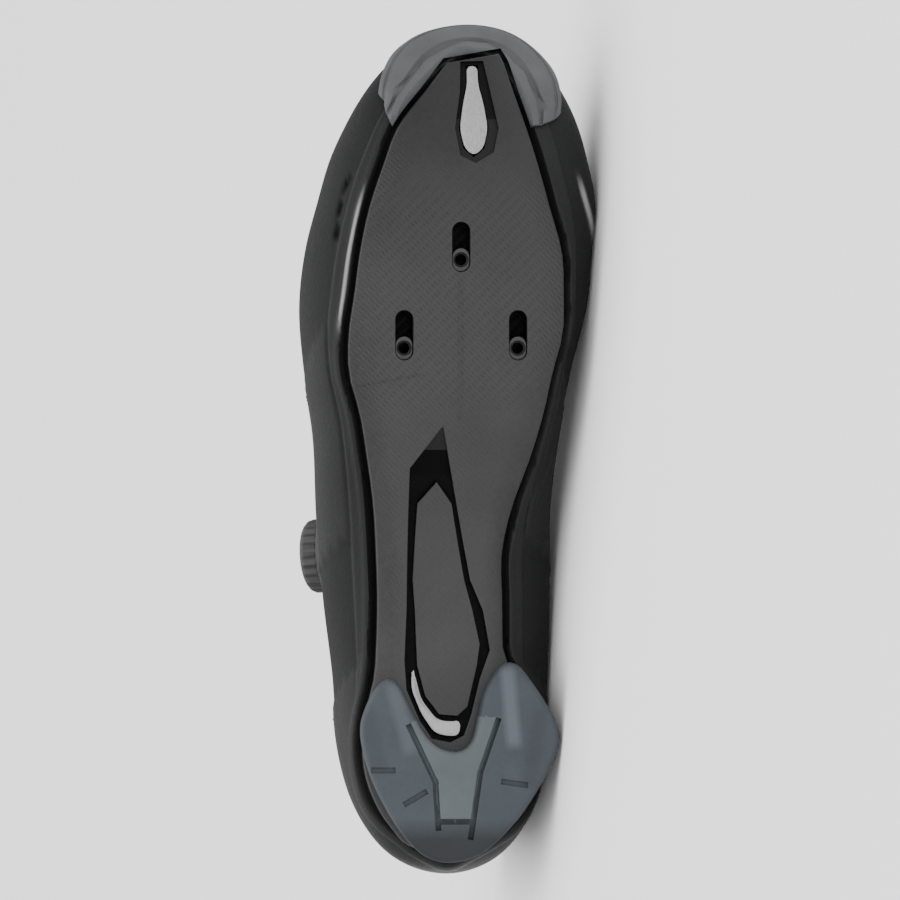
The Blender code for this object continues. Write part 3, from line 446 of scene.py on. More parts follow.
def faceOutwards(bm, vert, outwards):
    bm.normal_update()
    if vert.normal.dot(outwards) < 0.0:
        bmesh.ops.reverse_faces(bm, faces=bm.faces)
        bm.normal_update()


def intoWorld(bm):
    bmesh.ops.transform(bm, matrix=toWorld, verts=bm.verts)


def closedPiece(name, bm, rows, hollow, looks, angle):
    # joins both ends where the piece is hollow or fills them, and gives it its place in the frame
    ends = [[e for e in bm.edges if e.verts[0] in row and e.verts[1] in row] for row in (rows[0], rows[-1])]
    if hollow:
        bmesh.ops.bridge_loops(bm, edges=ends[0] + ends[1])
    else:
        for end in ends:
            bmesh.ops.edgeloop_fill(bm, edges=end)
    bmesh.ops.recalc_face_normals(bm, faces=bm.faces)
    intoWorld(bm)
    piece = newPiece(name, bm, looks, angle)
    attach(piece, "root")
    return piece


# materials
def newMaterial(name, colour, roughness, metallic=0.0, specular=0.5):
    material = bpy.data.materials.new(name)
    material.use_nodes = True
    tree = material.node_tree
    shader = tree.nodes["Principled BSDF"]
    shader.inputs["Base Color"].default_value = (*colour, 1.0)
    shader.inputs["Roughness"].default_value = roughness
    shader.inputs["Metallic"].default_value = metallic
    shader.inputs["Specular IOR Level"].default_value = specular
    return material, tree, shader


def node(tree, kind, inputs=None, **settings):
    made = tree.nodes.new("ShaderNode" + kind)
    for key, value in settings.items():
        setattr(made, key, value)
    for key, value in (inputs or {}).items():
        if isinstance(value, bpy.types.NodeSocket):
            tree.links.new(value, made.inputs[key])
        else:
            made.inputs[key].default_value = value
    return made


def shoeCoordinates(tree):
    # object coordinates turned into the shoe's own frame
    coordinates = node(tree, "TexCoord")
    turned = node(tree, "Mapping", {"Vector": coordinates.outputs["Object"]})
    turned.inputs["Rotation"].default_value = toShoe.to_euler()
    turned.inputs["Location"].default_value = toShoe.to_translation()
    return turned.outputs[0]


def maths(tree, operation, a, b=None, clamp=False):
    made = node(tree, "Math", {0: a}, operation=operation, use_clamp=clamp)
    if b is not None:
        if isinstance(b, bpy.types.NodeSocket):
            tree.links.new(b, made.inputs[1])
        else:
            made.inputs[1].default_value = b
    return made.outputs[0]


def plus(tree, a, b, clamp=False):
    return maths(tree, "ADD", a, b, clamp)


def minus(tree, a, b):
    return maths(tree, "SUBTRACT", a, b)


def times(tree, a, b):
    return maths(tree, "MULTIPLY", a, b)


def spread(tree, value, low, high, start=0.0, end=1.0):
    # goes from start to end while the value goes from low to high
    return node(tree, "MapRange", {"Value": value, "From Min": low, "From Max": high,
                                   "To Min": start, "To Max": end}).outputs[0]


def ramp(tree, factor, stops):
    made = node(tree, "ValToRGB", {"Fac": factor})
    elements = made.color_ramp.elements
    while len(elements) < len(stops):
        elements.new(0.5)
    for element, (place, colour) in zip(elements, stops):
        element.position = place
        element.color = (*colour, 1.0) if len(colour) == 3 else (colour[0],) * 3 + (1.0,)
    return made.outputs["Color"]


def grain(tree, vector, scale, detail):
    return node(tree, "TexNoise", {"Vector": vector, "Scale": scale, "Detail": detail,
                                   "Roughness": 0.6}).outputs["Fac"]


def cells(tree, vector, scale):
    return node(tree, "TexVoronoi", {"Vector": vector, "Scale": scale}, feature="F1").outputs["Distance"]


def sineOf(tree, value, pitch):
    return maths(tree, "SINE", times(tree, value, 2.0 * math.pi / pitch))


def scaled(colour, share):
    return tuple(min(share * c, 1.0) for c in colour)


def addBump(tree, shader, height, strength, distance, before=None):
    made = node(tree, "Bump", {"Height": height, "Strength": strength, "Distance": distance})
    if before is not None:
        tree.links.new(before, made.inputs["Normal"])
    tree.links.new(made.outputs["Normal"], shader.inputs["Normal"])
    return made.outputs["Normal"]


def measured(tree, name):
    return node(tree, "Attribute", attribute_name=name).outputs["Fac"]


def mixed(tree, factor, first, second):
    made = node(tree, "Mix", data_type="RGBA")
    for socket, value in ((made.inputs[0], factor), (made.inputs[6], first), (made.inputs[7], second)):
        if isinstance(value, bpy.types.NodeSocket):
            tree.links.new(value, socket)
        else:
            socket.default_value = (*value, 1.0) if isinstance(value, tuple) else value
    return made.outputs[2]


def shade(tree, shader, colour, rough):
    tree.links.new(colour, shader.inputs["Base Color"])
    tree.links.new(rough, shader.inputs["Roughness"])


upperMeasures = ("overlay", "seamAndGapShade", "paintedHighlight")
ventHoles = {"pitch": 0.0068, "rim": (0.80, 0.90), "above": 0.049, "ahead": 0.200, "fade": 0.003, "depth": 0.0006}


def blackMicrofibre():
    material, tree, shader = newMaterial("upper_microfibre", (0.008, 0.008, 0.009), 0.55, specular=0.16)
    place = shoeCoordinates(tree)
    overlay, seamAndGapShade, paintedHighlight = (measured(tree, name) for name in upperMeasures)
    fine, broad = grain(tree, place, 900.0, 4.0), grain(tree, place, 28.0, 2.0)
    tone = plus(tree, times(tree, broad, 0.6), times(tree, overlay, 0.25))
    colour = ramp(tree, tone, [(0.15, (0.0050, 0.0052, 0.0056)), (0.75, (0.0115, 0.0117, 0.0122))])
    # painted highlight: light grey streaks where light catches the rand's lip and the inner side of the ball
    colour = mixed(tree, paintedHighlight, colour, (0.300, 0.300, 0.295))
    # painted shade: near black in the gap beside the plate and in the slits
    colour = mixed(tree, seamAndGapShade, colour, (0.0012, 0.0012, 0.0014))
    rough = minus(tree, times(tree, fine, 0.22), times(tree, overlay, 0.10))
    rough = plus(tree, rough, times(tree, seamAndGapShade, 0.5))
    shade(tree, shader, colour, plus(tree, rough, 0.46, True))
    height = plus(tree, times(tree, cells(tree, place, 1300.0), 0.6), fine)
    first = addBump(tree, shader, height, 0.28, 0.0004)
    # round vent holes on the toe box, in a staggered grid
    holes = ventHoles
    along, across, up = node(tree, "SeparateXYZ", {0: place}).outputs
    dots = times(tree, sineOf(tree, along, holes["pitch"]), sineOf(tree, across, holes["pitch"]))
    high = spread(tree, up, holes["above"], holes["above"] + holes["fade"])
    ahead = spread(tree, along, holes["ahead"], holes["ahead"] + holes["fade"])
    dots = times(tree, times(tree, spread(tree, dots, *holes["rim"]), high), ahead)
    addBump(tree, shader, times(tree, dots, -1.0), 0.9, holes["depth"], first)
    return material


def knitLining(name, colour):
    material, tree, shader = newMaterial(name, colour, 0.92, specular=0.2)
    shader.inputs["Sheen Weight"].default_value = 0.25
    place = shoeCoordinates(tree)
    knit = cells(tree, place, 850.0)
    tone = times(tree, plus(tree, knit, grain(tree, place, 40.0, 3.0)), 0.6)
    tree.links.new(ramp(tree, tone, [(0.15, scaled(colour, 0.55)), (0.8, scaled(colour, 1.5))]),
                   shader.inputs["Base Color"])
    addBump(tree, shader, knit, 0.45, 0.0005)
    return material


def paintedStrip(tree, split, a, b, width):
    # soft strip from one place under the shoe to another
    way = (Vector(b) - Vector(a)).normalized()
    half = 0.5 * (Vector(b) - Vector(a)).length
    x, y = minus(tree, split.outputs[0], a[0]), minus(tree, split.outputs[1], a[1])
    along = plus(tree, times(tree, x, way.x), times(tree, y, way.y))
    aside = plus(tree, times(tree, x, -way.y), times(tree, y, way.x))
    ends = spread(tree, maths(tree, "ABSOLUTE", minus(tree, along, half)), half, half - width)
    return times(tree, ends, spread(tree, maths(tree, "ABSOLUTE", aside), width, 0.3 * width))


# strips of painted highlight and painted shade on the rubber, and painted shade on the rear end over a soft line
rubberForm = {"stripHighlight": 2.6, "stripShade": 0.35, "end": 0.50, "endSoft": 0.0036}


def softRubber(name, colour, light, darkEnd=None, strips=()):
    form = rubberForm
    material, tree, shader = newMaterial(name, colour, 0.72, specular=0.25)
    place = shoeCoordinates(tree)
    broad, fine = grain(tree, place, 70.0, 4.0), grain(tree, place, 1500.0, 2.0)
    tone = plus(tree, times(tree, broad, 0.8), times(tree, fine, 0.2))
    tint = ramp(tree, tone, [(0.28, colour), (0.72, light)])
    split = node(tree, "SeparateXYZ", {0: place})
    # painted highlights on the pad's ridges and painted shade beside them
    for a, b, width, share in strips:
        strip = times(tree, paintedStrip(tree, split, a, b, width), abs(share))
        tint = mixed(tree, strip, tint, scaled(light, form["stripHighlight"] if share > 0.0 else form["stripShade"]))
    # painted shade on the rear end, where the pad turns away, over a soft line
    if darkEnd:
        end = spread(tree, split.outputs[0], darkEnd + form["endSoft"], darkEnd - form["endSoft"])
        tint = mixed(tree, end, tint, scaled(colour, form["end"]))
    shade(tree, shader, tint, plus(tree, times(tree, broad, 0.2), 0.58))
    addBump(tree, shader, plus(tree, fine, broad), 0.22, 0.0004)
    return material


weaveForm = {"pitch": 0.0019, "middle": 0.193, "strong": 0.024, "faint": 0.044, "least": 0.18,
             "toe": (0.195, 0.250), "toeShare": 0.55}


def wovenComposite(name, dark, light, specular=0.22):
    # dark grey moulded composite, with a fine diagonal weave that shows round the cleat seat, and painted shade
    # towards the toe
    form = weaveForm
    material, tree, shader = newMaterial(name, (0.024, 0.024, 0.025), 0.44, specular=specular)
    place = shoeCoordinates(tree)
    along, across, up = node(tree, "SeparateXYZ", {0: place}).outputs
    rising = sineOf(tree, plus(tree, along, across), form["pitch"])
    falling = sineOf(tree, minus(tree, along, across), 2.0 * form["pitch"])
    weave = times(tree, rising, plus(tree, times(tree, falling, 0.5), 0.5))
    zone = maths(tree, "ABSOLUTE", minus(tree, along, form["middle"]))
    weave = times(tree, weave, spread(tree, zone, form["strong"], form["faint"], 1.0, form["least"]))
    broad, flecks = grain(tree, place, 22.0, 3.0), grain(tree, place, 520.0, 3.0)
    tone = plus(tree, times(tree, weave, 0.12), times(tree, broad, 0.5))
    tone = plus(tree, tone, times(tree, flecks, 0.35))
    colour = ramp(tree, tone, [(0.20, (dark,) * 3), (0.80, (light,) * 3)])
    # painted shade: the toe, which turns up away from the light, is painted darker
    toe = times(tree, spread(tree, along, *form["toe"]), form["toeShare"])
    colour = mixed(tree, toe, colour, (0.010, 0.010, 0.011))
    shade(tree, shader, colour, plus(tree, times(tree, flecks, 0.25), 0.30))
    addBump(tree, shader, plus(tree, weave, times(tree, flecks, 0.4)), 0.25, 0.0005)
    return material


def mouldedPlastic(name, colour, roughness):
    material, tree, shader = newMaterial(name, colour, roughness)
    place = shoeCoordinates(tree)
    fine, broad = grain(tree, place, 1800.0, 2.0), grain(tree, place, 90.0, 2.0)
    shade(tree, shader, ramp(tree, broad, [(0.3, colour), (0.75, scaled(colour, 1.45))]),
          plus(tree, times(tree, fine, 0.2), roughness - 0.1))
    addBump(tree, shader, fine, 0.15, 0.0003)
    return material


def brushedMetal(name, colour, metallic, roughness, ahead):
    # fine lines, drawn out along the shoe or across it
    material, tree, shader = newMaterial(name, colour, roughness, metallic)
    stretched = node(tree, "Mapping", {"Vector": shoeCoordinates(tree)})
    stretched.inputs["Scale"].default_value = (60.0, 2600.0, 2600.0) if ahead else (2600.0, 60.0, 2600.0)
    lines = grain(tree, stretched.outputs[0], 1.0, 3.0)
    shade(tree, shader, ramp(tree, lines, [(0.3, scaled(colour, 0.78)), (0.7, scaled(colour, 1.15))]),
          plus(tree, times(tree, lines, 0.2), roughness - 0.1))
    addBump(tree, shader, lines, 0.2, 0.0002)
    return material


# painted strips on the pad: both ends, width and strength, which is above nought for a painted highlight and below
# nought for painted shade
padLightAndShadeStrips = [
    ((0.0690, 0.0180), (0.0400, 0.0205), 0.0034, 0.42), ((0.0640, -0.0200), (0.0380, -0.0130), 0.0036, 0.22),
    ((0.0560, 0.0290), (0.0260, 0.0250), 0.0040, -0.30), ((0.0560, -0.0290), (0.0300, -0.0230), 0.0042, -0.25),
]
finishes = {
    "upper": blackMicrofibre(),
    "lining": knitLining("lining_knit", (0.022, 0.022, 0.024)),
    "insole": knitLining("insole_cloth", (0.050, 0.052, 0.056)),
    "plate": wovenComposite("sole_composite", 0.016, 0.036),
    # darker copies of the plate's composite: painted shade for the recess and the toe pocket
    "plateRecessShade": wovenComposite("recess_composite_painted_shade", 0.005, 0.011, 0.14),
    "plateDeepShade": wovenComposite("channel_composite_painted_shade", 0.0010, 0.0024, 0.04),
    "pad": softRubber("pad_rubber", (0.031, 0.037, 0.043), (0.044, 0.052, 0.060), 0.0145, padLightAndShadeStrips),
    "padLug": softRubber("pad_lug_rubber", (0.056, 0.066, 0.071), (0.075, 0.087, 0.093)),
    "bumper": softRubber("bumper_rubber", (0.052, 0.054, 0.056), (0.080, 0.083, 0.085)),
    "silver": brushedMetal("vent_silver", (0.30, 0.30, 0.30), 0.45, 0.40, True),
    "nut": brushedMetal("nut_steel", (0.034, 0.034, 0.036), 0.6, 0.50, False),
    "plastic": mouldedPlastic("dial_plastic", (0.0085, 0.0085, 0.0090), 0.50),
    "cap": mouldedPlastic("dial_cap_plastic", (0.020, 0.020, 0.022), 0.30),
    "wire": mouldedPlastic("lace_wire", (0.050, 0.050, 0.053), 0.50),
    "thread": mouldedPlastic("stitch_thread", (0.030, 0.030, 0.032), 0.70),
}
print("stage: materials")

# upper
upperForm = {
    "columns": 288, "lowerRings": 34, "upperRings": 46, "eyestay": (1.70, 1.735), "soft": 0.0007,
    "counterEnd": 0.074, "counterLean": 0.020, "counterTop": (1.60, 1.63), "counterStep": 0.0006,
    "randTop": (0.34, 0.375), "randEnd": (52.0, 62.0), "randStep": 0.0007,
    "wingFront": 0.148, "wingBack": 0.098, "wingLean": 0.020, "wingFrontLean": 0.032, "wingLateral": 0.012,
    "wingFoot": (0.36, 0.40), "wingStep": 0.0005,
    "creasePlaces": (0.196, 0.206, 0.216), "creaseDepth": 0.0006, "creaseWidth": 0.0024,
    "creaseBow": 4.0, "creaseTilt": 0.06, "creaseLow": (1.15, 1.35), "creaseHigh": (1.60, 1.72),
    "creasesFrom": 0.17, "flangeLevels": [-1.0, -0.6, -0.25], "panelLevels": [0.345, 0.36, 0.375, 1.705, 1.7175, 1.73],
    "foldPlace": 0.085, "foldFrom": (0.060, 0.075), "foldTo": (0.095, 0.110), "foldWide": 0.07, "foldDepth": 0.0005,
    "seamDepth": 0.0013, "seamAndGapShade": (-0.0002, 0.0019, 0.0005), "lip": 0.0005, "lipPlace": (0.0022, 0.0040, 0.0006),
    "slits": [(0.2256, -0.0338, 0.5), (0.2174, -0.0362, 0.3), (0.2095, -0.0372, 0.15)],
    "slitLong": 0.0024, "slitWide": 0.0008, "slitDepth": 0.0008,
    "ribs": [(0.0042, 0.0052, 0.0004), (0.0066, 0.0076, 0.0004)], "ribAlong": (0.108, 0.138, 0.004),
    # painted highlight streaks: the lateral one on the lip's crest, the inner one beside the ball
    "ribHigh": 0.0005, "crestHighlight": (0.0026, 0.0034, 0.0004), "crestHighlightAlong": (0.180, 0.221, 0.006),
    "paintedHighlight": (0.0120, 0.0136, 0.0005), "highlightAlong": (0.209, 0.226, 0.004), "highlightStrength": 0.7,
    "paddingLow": (1.45, 1.70), "paddingEnd": (58.0, 72.0), "rim": 0.0009,
}


def wingBack(level):
    return upperForm["wingBack"] - upperForm["wingLean"] * (level - 1.0)


def wingFront(level, side):
    form = upperForm
    return form["wingFront"] + (form["wingLateral"] if side < 0 else 0.0) - form["wingFrontLean"] * (level - 1.0)


def counterEnd(level):
    return upperForm["counterEnd"] - upperForm["counterLean"] * level


def panelStep(at, x):
    return ease(at - upperForm["soft"], at + upperForm["soft"], x)


def wingShare(level, x, side):
    # side panel that carries the pull of the lace from the sole to the throat
    return (panelStep(wingBack(level), x) * (1.0 - panelStep(wingFront(level, side), x))
            * ease(*upperForm["wingFoot"], level))


def counterShare(level, x):
    return (1.0 - panelStep(counterEnd(level), x)) * (1.0 - ease(*upperForm["counterTop"], level))


def randShare(degrees, level):
    return (1.0 - ease(*upperForm["randTop"], level)) * ease(*upperForm["randEnd"], fromHeel(degrees))


def besidePlate(around, level):
    # distance in plan from the edge of the plate
    feather, base = meridian(around)[0], upperBase(around, level)
    return math.hypot(base.x - feather.x, base.y - feather.y) - shoe["soleMargin"]


def gapShadeShare(around, level):
    # shadow gap between the plate and the upper: a trough in the upper, painted with shade
    return bump(*upperForm["seamAndGapShade"], besidePlate(around, level)) if 0.0 <= level < 0.6 else 0.0


def lipShare(around, level):
    # the rand's lip beside the ball of the foot, which carries a painted highlight on the lateral side
    return bump(*upperForm["lipPlace"], besidePlate(around, level)) if 0.0 <= level < 0.7 else 0.0


def slitShare(x, y):
    form = upperForm
    share = 0.0
    for along, across, lean in form["slits"]:
        dx, dy = x - along, y - across - lean * (x - along)
        share = max(share, math.exp(-(dx / form["slitLong"]) ** 4 - (dy / form["slitWide"]) ** 4))
    return share


def upperRelief(around, level):
    form = upperForm
    degrees = inDegrees(around)
    side = sideOf(degrees)
    base = upperBase(around, level)
    eyestay = ease(*form["eyestay"], level)
    out = shoe["overlay"] * eyestay
    out += form["counterStep"] * counterShare(level, base.x) * (1.0 - eyestay)
    out += form["wingStep"] * wingShare(level, base.x, side) * (1.0 - eyestay)
    out += form["randStep"] * randShare(degrees, level) * (1.0 - gapShadeShare(around, level))
    if 0.0 <= level < 0.7:
        out -= form["seamDepth"] * gapShadeShare(around, level)
        out += form["lip"] * lipShare(around, level)
        out -= form["slitDepth"] * slitShare(base.x, base.y)
        if side > 0:
            # fine ribs beside the arch
            ribs = sum(bump(*rib, besidePlate(around, level)) for rib in form["ribs"])
            out += form["ribHigh"] * ribs * bump(*form["ribAlong"], base.x)
    if form["creaseLow"][0] < level < form["creaseHigh"][1] and base.x > form["creasesFrom"]:
        # soft flex creases over the toes
        reach = ease(*form["creaseLow"], level) * (1.0 - ease(*form["creaseHigh"], level))
        for index, place in enumerate(form["creasePlaces"]):
            bow = place + form["creaseBow"] * base.y**2 + form["creaseTilt"] * base.y * (1 if index % 2 else -1)
            near = (base.x - bow) / form["creaseWidth"]
            if abs(near) < 3.0:
                out -= form["creaseDepth"] * reach * math.exp(-near * near)
    if level > 1.2 and form["foldFrom"][0] < base.x < form["foldTo"][1]:
        # the ankle folds a little under the collar
        near = (level - 1.50 - 3.0 * (base.x - form["foldPlace"])) / form["foldWide"]
        out -= (form["foldDepth"] * math.exp(-near * near) * ease(*form["foldFrom"], base.x)
                * (1.0 - ease(*form["foldTo"], base.x)))
    return out


def overlayShare(around, level):
    degrees = inDegrees(around)
    base = upperBase(around, level)
    return max(ease(*upperForm["eyestay"], level), counterShare(level, base.x), randShare(degrees, level),
               wingShare(level, base.x, sideOf(degrees)))


def paintedHighlightShare(around, level):
    # painted highlight streaks on the rand's lip and on the inner side of the ball
    form = upperForm
    base, beside = upperBase(around, level), besidePlate(around, level)
    if base.y < 0.0:
        return bump(*form["crestHighlight"], beside) * bump(*form["crestHighlightAlong"], base.x) if 0.0 <= level < 0.7 else 0.0
    if base.y == 0.0 or level >= 1.1:
        return 0.0
    return form["highlightStrength"] * bump(*form["paintedHighlight"], beside) * bump(*form["highlightAlong"], base.x)


def upperLevels():
    form = upperForm
    # the flange's levels, the wall's, and some more beside the edges of the panels
    levels = form["flangeLevels"] + form["panelLevels"]
    levels += [k / form["lowerRings"] for k in range(form["lowerRings"])]
    levels += [1.0 + k / form["upperRings"] for k in range(form["upperRings"] + 1)]
    return sorted(set(levels))


def paddingShare(around, level):
    degrees = fromHeel(inDegrees(around))
    return ease(*upperForm["paddingLow"], level) * (1.0 - ease(*upperForm["paddingEnd"], degrees))


def makeUpper():
    form = upperForm
    arounds = roundAngles(form["columns"])
    levels = upperLevels()
    bm, rows = loft(levels, arounds, upperBase, measures=upperMeasures)
    faceOutwards(bm, rows[len(rows) // 2][form["columns"] // 4], Vector((0.0, -1.0, 0.0)))
    overlay, seamAndGapShade, paintedHighlight = (bm.verts.layers.float[name] for name in upperMeasures)
    weights = []
    normals = [[vert.normal.copy() for vert in row] for row in rows]
    for level, row, outs in zip(levels, rows, normals):
        for around, vert, out in zip(arounds, row, outs):
            if level >= 0.0:
                vert.co += out * upperRelief(around, level)
                vert[overlay] = overlayShare(around, level)
                # painted shade in the gap beside the plate and in the slits
                vert[seamAndGapShade] = max(gapShadeShare(around, level), slitShare(vert.co.x, vert.co.y) if level < 0.8 else 0.0)
                # painted highlight streaks
                vert[paintedHighlight] = paintedHighlightShare(around, level)
            weights.append(paddingShare(around, level))
    intoWorld(bm)
    upper = newPiece("upper_shell", bm, ["upper", "lining"])
    group = upper.vertex_groups.new(name="padding")
    for index, weight in enumerate(weights):
        group.add([index], weight, "REPLACE")
    modifier(upper, "SOLIDIFY", thickness=shoe["padding"], offset=-1.0, use_even_offset=True,
             vertex_group="padding", thickness_vertex_group=shoe["wall"] / shoe["padding"],
             material_offset=1, material_offset_rim=1)
    roundedEdges(upper, form["rim"], 3, 60.0)
    smoothAgain(upper, 50.0)
    takePlace(upper, "upper")


# toe bumper
bumperForm = {
    "from": 149.5, "to": 215.5, "columns": 104, "thick": 0.0022, "seat": 0.00045, "taper": 0.55, "apart": 0.0017,
    "slant": 6.0, "tip": 0.0010, "tipWide": 12.0, "bow": 0.05, "endShare": 0.55, "endColumns": 3.0, "rim": 0.0003,
    "slantTop": 0.35, "bowTop": 0.55,
    "rows": [(0.08, 0.62), (0.16, 0.70), (0.30, 0.78), (0.385, 0.80), (0.40, 0.50), (0.44, 0.34), (0.48, 0.34),
             (0.50, 0.50), (0.515, 0.95), (0.56, 1.00), (0.70, 1.00), (0.80, 1.00), (0.815, 0.80), (0.86, 0.66),
             (0.90, 0.66), (0.915, 0.86), (1.00, 0.86), (1.08, 0.76), (1.14, 0.58), (1.18, 0.40), (1.20, 0.24)],
}


def plateEdge(steps=64):
    low, high = plateAlong[0], plateAlong[-1]
    places = [low + (high - low) * 0.5 * (1.0 - math.cos(math.pi * k / steps)) for k in range(steps + 1)]
    lateral = [(x, -plateSide(x, -1)) for x in places]
    medial = [(x, plateSide(x, 1)) for x in reversed(places)]
    return lateral + [(plateNose["along"] * shoe["length"], plateNose["medial"] * shoe["ballWidth"])] + medial


def grownOutline(points, distance):
    area = sum(a[0] * b[1] - b[0] * a[1] for a, b in sidesOf(points))
    sign = 1.0 if area > 0.0 else -1.0
    moved = []
    for i, here in enumerate(points):
        before, after = points[i - 1], points[(i + 1) % len(points)]
        first = Vector((here[0] - before[0], here[1] - before[1])).normalized()
        second = Vector((after[0] - here[0], after[1] - here[1])).normalized()
        out = Vector((first.y + second.y, -first.x - second.x)).normalized() * sign
        spread = max(abs(out.dot(Vector((second.y, -second.x)))), 0.5)
        moved.append((here[0] + out.x * distance / spread, here[1] + out.y * distance / spread))
    return moved


def bevelled(bm, edges, width, segments):
    bmesh.ops.bevel(bm, geom=edges, offset=width, segments=segments, profile=0.5, affect="EDGES",
                    material=-1, clamp_overlap=True)


def cutPlane(bm, point, direction, near=small["cut"]):
    bmesh.ops.bisect_plane(bm, geom=list(bm.verts) + list(bm.edges) + list(bm.faces), plane_co=point,
                           plane_no=direction, dist=near)


def slab(points, low, high, rim=0.0):
    # flat outline raised to a slab, with a rounded lower rim
    bm = bmesh.new()
    verts = [bm.verts.new((x, y, low)) for x, y in points]
    edges = [bm.edges.new(ends) for ends in sidesOf(verts)]
    face = bmesh.ops.edgeloop_fill(bm, edges=edges)["faces"]
    top = bmesh.ops.extrude_face_region(bm, geom=face)["geom"]
    bmesh.ops.translate(bm, vec=(0.0, 0.0, high - low), verts=vertsOf(top))
    bmesh.ops.recalc_face_normals(bm, faces=bm.faces)
    if rim:
        bevelled(bm, [e for e in bm.edges if all(abs(v.co.z - low) < 1e-7 for v in e.verts)], rim, 4)
    return bm


def combine(body, cutter, operation):
    # cuts or joins at once, then removes the other shape
    modifier(body, "BOOLEAN", operation=operation, solver="EXACT", object=cutter)
    keepShape(body)
    mesh = cutter.data
    bpy.data.objects.remove(cutter, do_unlink=True)
    bpy.data.meshes.remove(mesh)


def carve(body, name, bm, operation="DIFFERENCE"):
    combine(body, scratchObject(name, bm), operation)


def makeBumper():
    form = bumperForm
    angles = [math.radians(form["from"] + (form["to"] - form["from"]) * k / form["columns"])
              for k in range(form["columns"] + 1)]
    foot, middle = form["rows"][0][0], 0.5 * (form["to"] + form["from"])
    half = 0.5 * (form["to"] - form["from"])

    def placeAt(around, level):
        # the upper edge comes down and the ends are rounded
        off = (math.degrees(around) - middle) / half
        level = foot + (level - foot) * (1.0 - form["taper"] * abs(off) ** 3)
        bow = 1.0 - form["bow"] * abs(2.0 * (level - foot) / form["bowTop"] - 1.0) ** 3 * abs(off) ** 6
        # the outer end runs on beside the plate
        low = 1.0 - min(max((level - foot) / form["slantTop"], 0.0), 1.0)
        slant = form["slant"] * low * max(0.0, -off) ** 3
        degrees = middle + half * off * bow - slant
        tip = form["tip"] * math.exp(-((degrees - middle) / form["tipWide"]) ** 2) * ease(0.4, 0.8, level)
        return upperSkin(math.radians(degrees), level, form["seat"] + tip)

    bm, rows = loft([row[0] for row in form["rows"]], angles, placeAt, False)
    faceOutwards(bm, rows[8][form["columns"] // 2], Vector((1.0, 0.0, 0.0)))
    bumper = newPiece("toe_bumper_shell", bm, ["bumper"])
    group = bumper.vertex_groups.new(name="thickness")
    for r, (level, share) in enumerate(form["rows"]):
        for c in range(len(angles)):
            near = min(min(c, len(angles) - 1 - c) / form["endColumns"], 1.0)
            near = form["endShare"] + (1.0 - form["endShare"]) * near
            group.add([r * len(angles) + c], share * near, "REPLACE")
    modifier(bumper, "SOLIDIFY", thickness=form["thick"], offset=1.0, use_even_offset=True,
             vertex_group="thickness", thickness_vertex_group=0.0)
    keepShape(bumper)
    nose = slab(grownOutline(plateEdge(), form["apart"]), -0.02, 0.06)
    carve(bumper, "nose", nose)
    roundedEdges(bumper, form["rim"], 2, 55.0)
    bumper.data.transform(toWorld)
    smoothAgain(bumper, 42.0)
    takePlace(bumper, "toe_bumper")


# outlines under the shoe: shares of the length and of the ball width
padOutline = [
    (0.2328, -0.1965), (0.2227, -0.2482), (0.1975, -0.2875), (0.1694, -0.3123), (0.1240, -0.2854),
    (0.0890, -0.2420), (0.0512, -0.1779), (0.0281, -0.1220), (0.0151, -0.0662), (0.0115, 0.0000),
    (0.0180, 0.0827), (0.0368, 0.1551), (0.0613, 0.2192), (0.0890, 0.2771), (0.1225, 0.3330),
    (0.1441, 0.3599), (0.1622, 0.3692), (0.1838, 0.3495), (0.2090, 0.3061), (0.2306, 0.2637),
    (0.2486, 0.2234), (0.2486, 0.1758), (0.2162, 0.1117), (0.1802, 0.0910), (0.1550, 0.0745),
    (0.1423, 0.0310), (0.1449, -0.0310), (0.1596, -0.0879), (0.1946, -0.1396),
]
recessOutline = [
    (0.5283, -0.0269), (0.4775, -0.1375), (0.3099, -0.1448), (0.2505, -0.1531), (0.2162, -0.1468),
    (0.1802, -0.1034), (0.1586, -0.0620), (0.1542, 0.0000), (0.1622, 0.0465), (0.1874, 0.0724),
    (0.2306, 0.1034), (0.2631, 0.1375), (0.3099, 0.1148), (0.3459, 0.0714), (0.4685, 0.0052),
]
islandOutline = [
    (0.4613, -0.0445), (0.4360, -0.1086), (0.3459, -0.1231), (0.3099, -0.1158), (0.2450, -0.1096),
    (0.2090, -0.0827), (0.1874, -0.0362), (0.1856, 0.0259), (0.1964, 0.0600), (0.2450, 0.0931),
    (0.2703, 0.1034), (0.3099, 0.0796), (0.3459, 0.0517), (0.4360, 0.0072),
]
heelVentOutline = [
    (0.2360, -0.1293), (0.2162, -0.1293), (0.1874, -0.0962), (0.1650, -0.0517), (0.1611, 0.0000),
    (0.1629, 0.0331), (0.1802, 0.0372), (0.1787, 0.0000), (0.1809, -0.0434), (0.2047, -0.0962),
    (0.2360, -0.1189),
]
toePocketOutline = [
    (0.9586, 0.0414), (0.9593, 0.1189), (0.9225, 0.1396), (0.8793, 0.1634), (0.8505, 0.1448),
    (0.8378, 0.0827), (0.8468, 0.0310), (0.8793, 0.0155), (0.9225, 0.0362),
]
toeVentOutline = [
    (0.9532, 0.0620), (0.9532, 0.0993), (0.9315, 0.0993), (0.9081, 0.1158), (0.8793, 0.1272),
    (0.8559, 0.1117), (0.8461, 0.0765), (0.8559, 0.0455), (0.8793, 0.0321), (0.9081, 0.0455),
    (0.9315, 0.0620),
]
